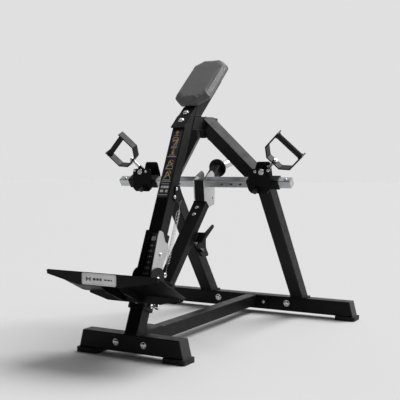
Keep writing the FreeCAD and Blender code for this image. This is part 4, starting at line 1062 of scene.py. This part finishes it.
beam_low, beam_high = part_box("centre_beam")
for name, node, place, normal, count in (
        ("weld_mast_foot", "mast", UP * (BASE_TOP + HAIR), UP, 1),
        ("weld_leg_feet", "legs_lower", UP * (LEG_FOOT + HAIR), UP, 2),
        ("weld_top_beam", "top_beam", mast_edge - mast_front * (TUBE + HAIR), mast_front, 1),
        ("weld_pad_tube", "pad_tube", UP * (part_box("top_beam")[1].z + HAIR), UP, 1),
        ("weld_beam_front", "centre_beam", beam_low + REARWARD * HAIR, REARWARD, 1),
        ("weld_beam_rear", "centre_beam", beam_high - REARWARD * HAIR, REARWARD, 1),
        ("weld_pivot_base", "pivot_bracket", UP * (BASE_TOP + HAIR), UP, 1)):
    weld(name, section_loops(node, place, normal)[:count])

shaft_low, shaft_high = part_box("pivot_shaft")
lever_head = (shaft_low + shaft_high) / 2 + lever_up * (LEVER_LENGTH - HAIR)
weld("weld_lever_head", section_loops("lever_arm", lever_head, lever_up)[:1], "lever")

leg_up = Vector((0, -math.sin(LEG_LEAN), math.cos(LEG_LEAN)))
for word, side in (("left", -1), ("right", 1)):
    knee = Vector((side * KNEE.x, KNEE.y, KNEE.z))
    shoulder = Vector((side * SHOULDER.x, SHOULDER.y, SHOULDER.z))
    mitre = ((shoulder - knee).normalized() + leg_up).normalized()
    near_knee = section_loops("legs_lower", knee - mitre * HAIR, mitre)
    own = [loop for loop in near_knee if loop[0].x * side > 0]
    weld(f"weld_{word}_knee", own[:1], radius=2.2 * MM, ripple=2.1)
    outward = RIGHT * side
    at_mast = section_loops("legs_upper", outward * (TUBE / 2 + HAIR), outward)
    weld(f"weld_{word}_shoulder", at_mast[:1])

# ---------------------------------------------------------------- floor, light and camera

FLOOR_SHADE, BACKDROP_SHADE = 0.622, 0.745
FLOOR_HALF = 40
GLOW_TOWARD = Vector((0.35, 0.72, 0.6))
GLOW_SPREAD, GLOW_STRENGTH = (-0.15, 0.9), (0.015, 0.85)

floor_shape = bmesh.new()
bmesh.ops.create_grid(floor_shape, x_segments=8, y_segments=8, size=FLOOR_HALF)
floor = add_object("studio_floor", mesh_of("studio_floor", floor_shape))
floor.data.materials.append(make_floor(FLOOR_SHADE))


def make_world():
    """Studio surroundings: a plain backdrop, lit from behind, above and the right, dim in front."""
    world = bpy.data.worlds.new("studio")
    bpy.context.scene.world = world
    world.use_nodes = True
    tree = world.node_tree
    tree.nodes.clear()
    place = tree.nodes.new("ShaderNodeTexCoord").outputs["Generated"]
    toward = tree.nodes.new("ShaderNodeVectorMath")
    toward.operation = "DOT_PRODUCT"
    toward.inputs[1].default_value = GLOW_TOWARD.normalized()
    tree.links.new(place, toward.inputs[0])
    ramp = tree.nodes.new("ShaderNodeMapRange")
    ramp.interpolation_type = "SMOOTHSTEP"
    for word, numbers in (("From", GLOW_SPREAD), ("To", GLOW_STRENGTH)):
        ramp.inputs[f"{word} Min"].default_value, ramp.inputs[f"{word} Max"].default_value = numbers
    tree.links.new(toward.outputs["Value"], ramp.inputs["Value"])
    glow = tree.nodes.new("ShaderNodeBackground")
    glow.inputs["Color"].default_value = (1, 1, 1, 1)
    tree.links.new(ramp.outputs["Result"], glow.inputs["Strength"])
    backdrop = tree.nodes.new("ShaderNodeBackground")
    backdrop.inputs["Color"].default_value = (*grey(BACKDROP_SHADE), 1)
    path = tree.nodes.new("ShaderNodeLightPath")
    choice = tree.nodes.new("ShaderNodeMixShader")
    tree.links.new(path.outputs["Is Camera Ray"], choice.inputs[0])
    tree.links.new(glow.outputs["Background"], choice.inputs[1])
    tree.links.new(backdrop.outputs["Background"], choice.inputs[2])
    output = tree.nodes.new("ShaderNodeOutputWorld")
    tree.links.new(choice.outputs["Shader"], output.inputs["Surface"])


def sun(name, energy, angle, toward):
    """A broad sun that shines from a direction."""
    light = bpy.data.lights.new(name, "SUN")
    light.energy = energy
    light.angle = math.radians(angle)
    lamp = add_object(name, light)
    lamp.rotation_mode = "QUATERNION"
    lamp.rotation_quaternion = Vector(toward).normalized().to_track_quat("Z", "Y")


make_world()
sun("key_sun", 2.9, 42, (0.35, 0.5, 0.8))

bpy.context.scene.view_settings.view_transform = "Standard"
camera_data = bpy.data.cameras.new("camera")
camera_data.lens = 70.24
camera_data.sensor_width = 36
camera_data.clip_end = 200
camera = add_object("camera", camera_data)
camera.location = (2.1459, -3.7829, 0.9448)
yaw, pitch = math.radians(29.04), math.radians(2.52)
forward = Vector((-math.sin(yaw) * math.cos(pitch), math.cos(yaw) * math.cos(pitch),
                  -math.sin(pitch)))
camera.rotation_mode = "QUATERNION"
camera.rotation_quaternion = forward.to_track_quat("-Z", "Y")
bpy.context.scene.camera = camera
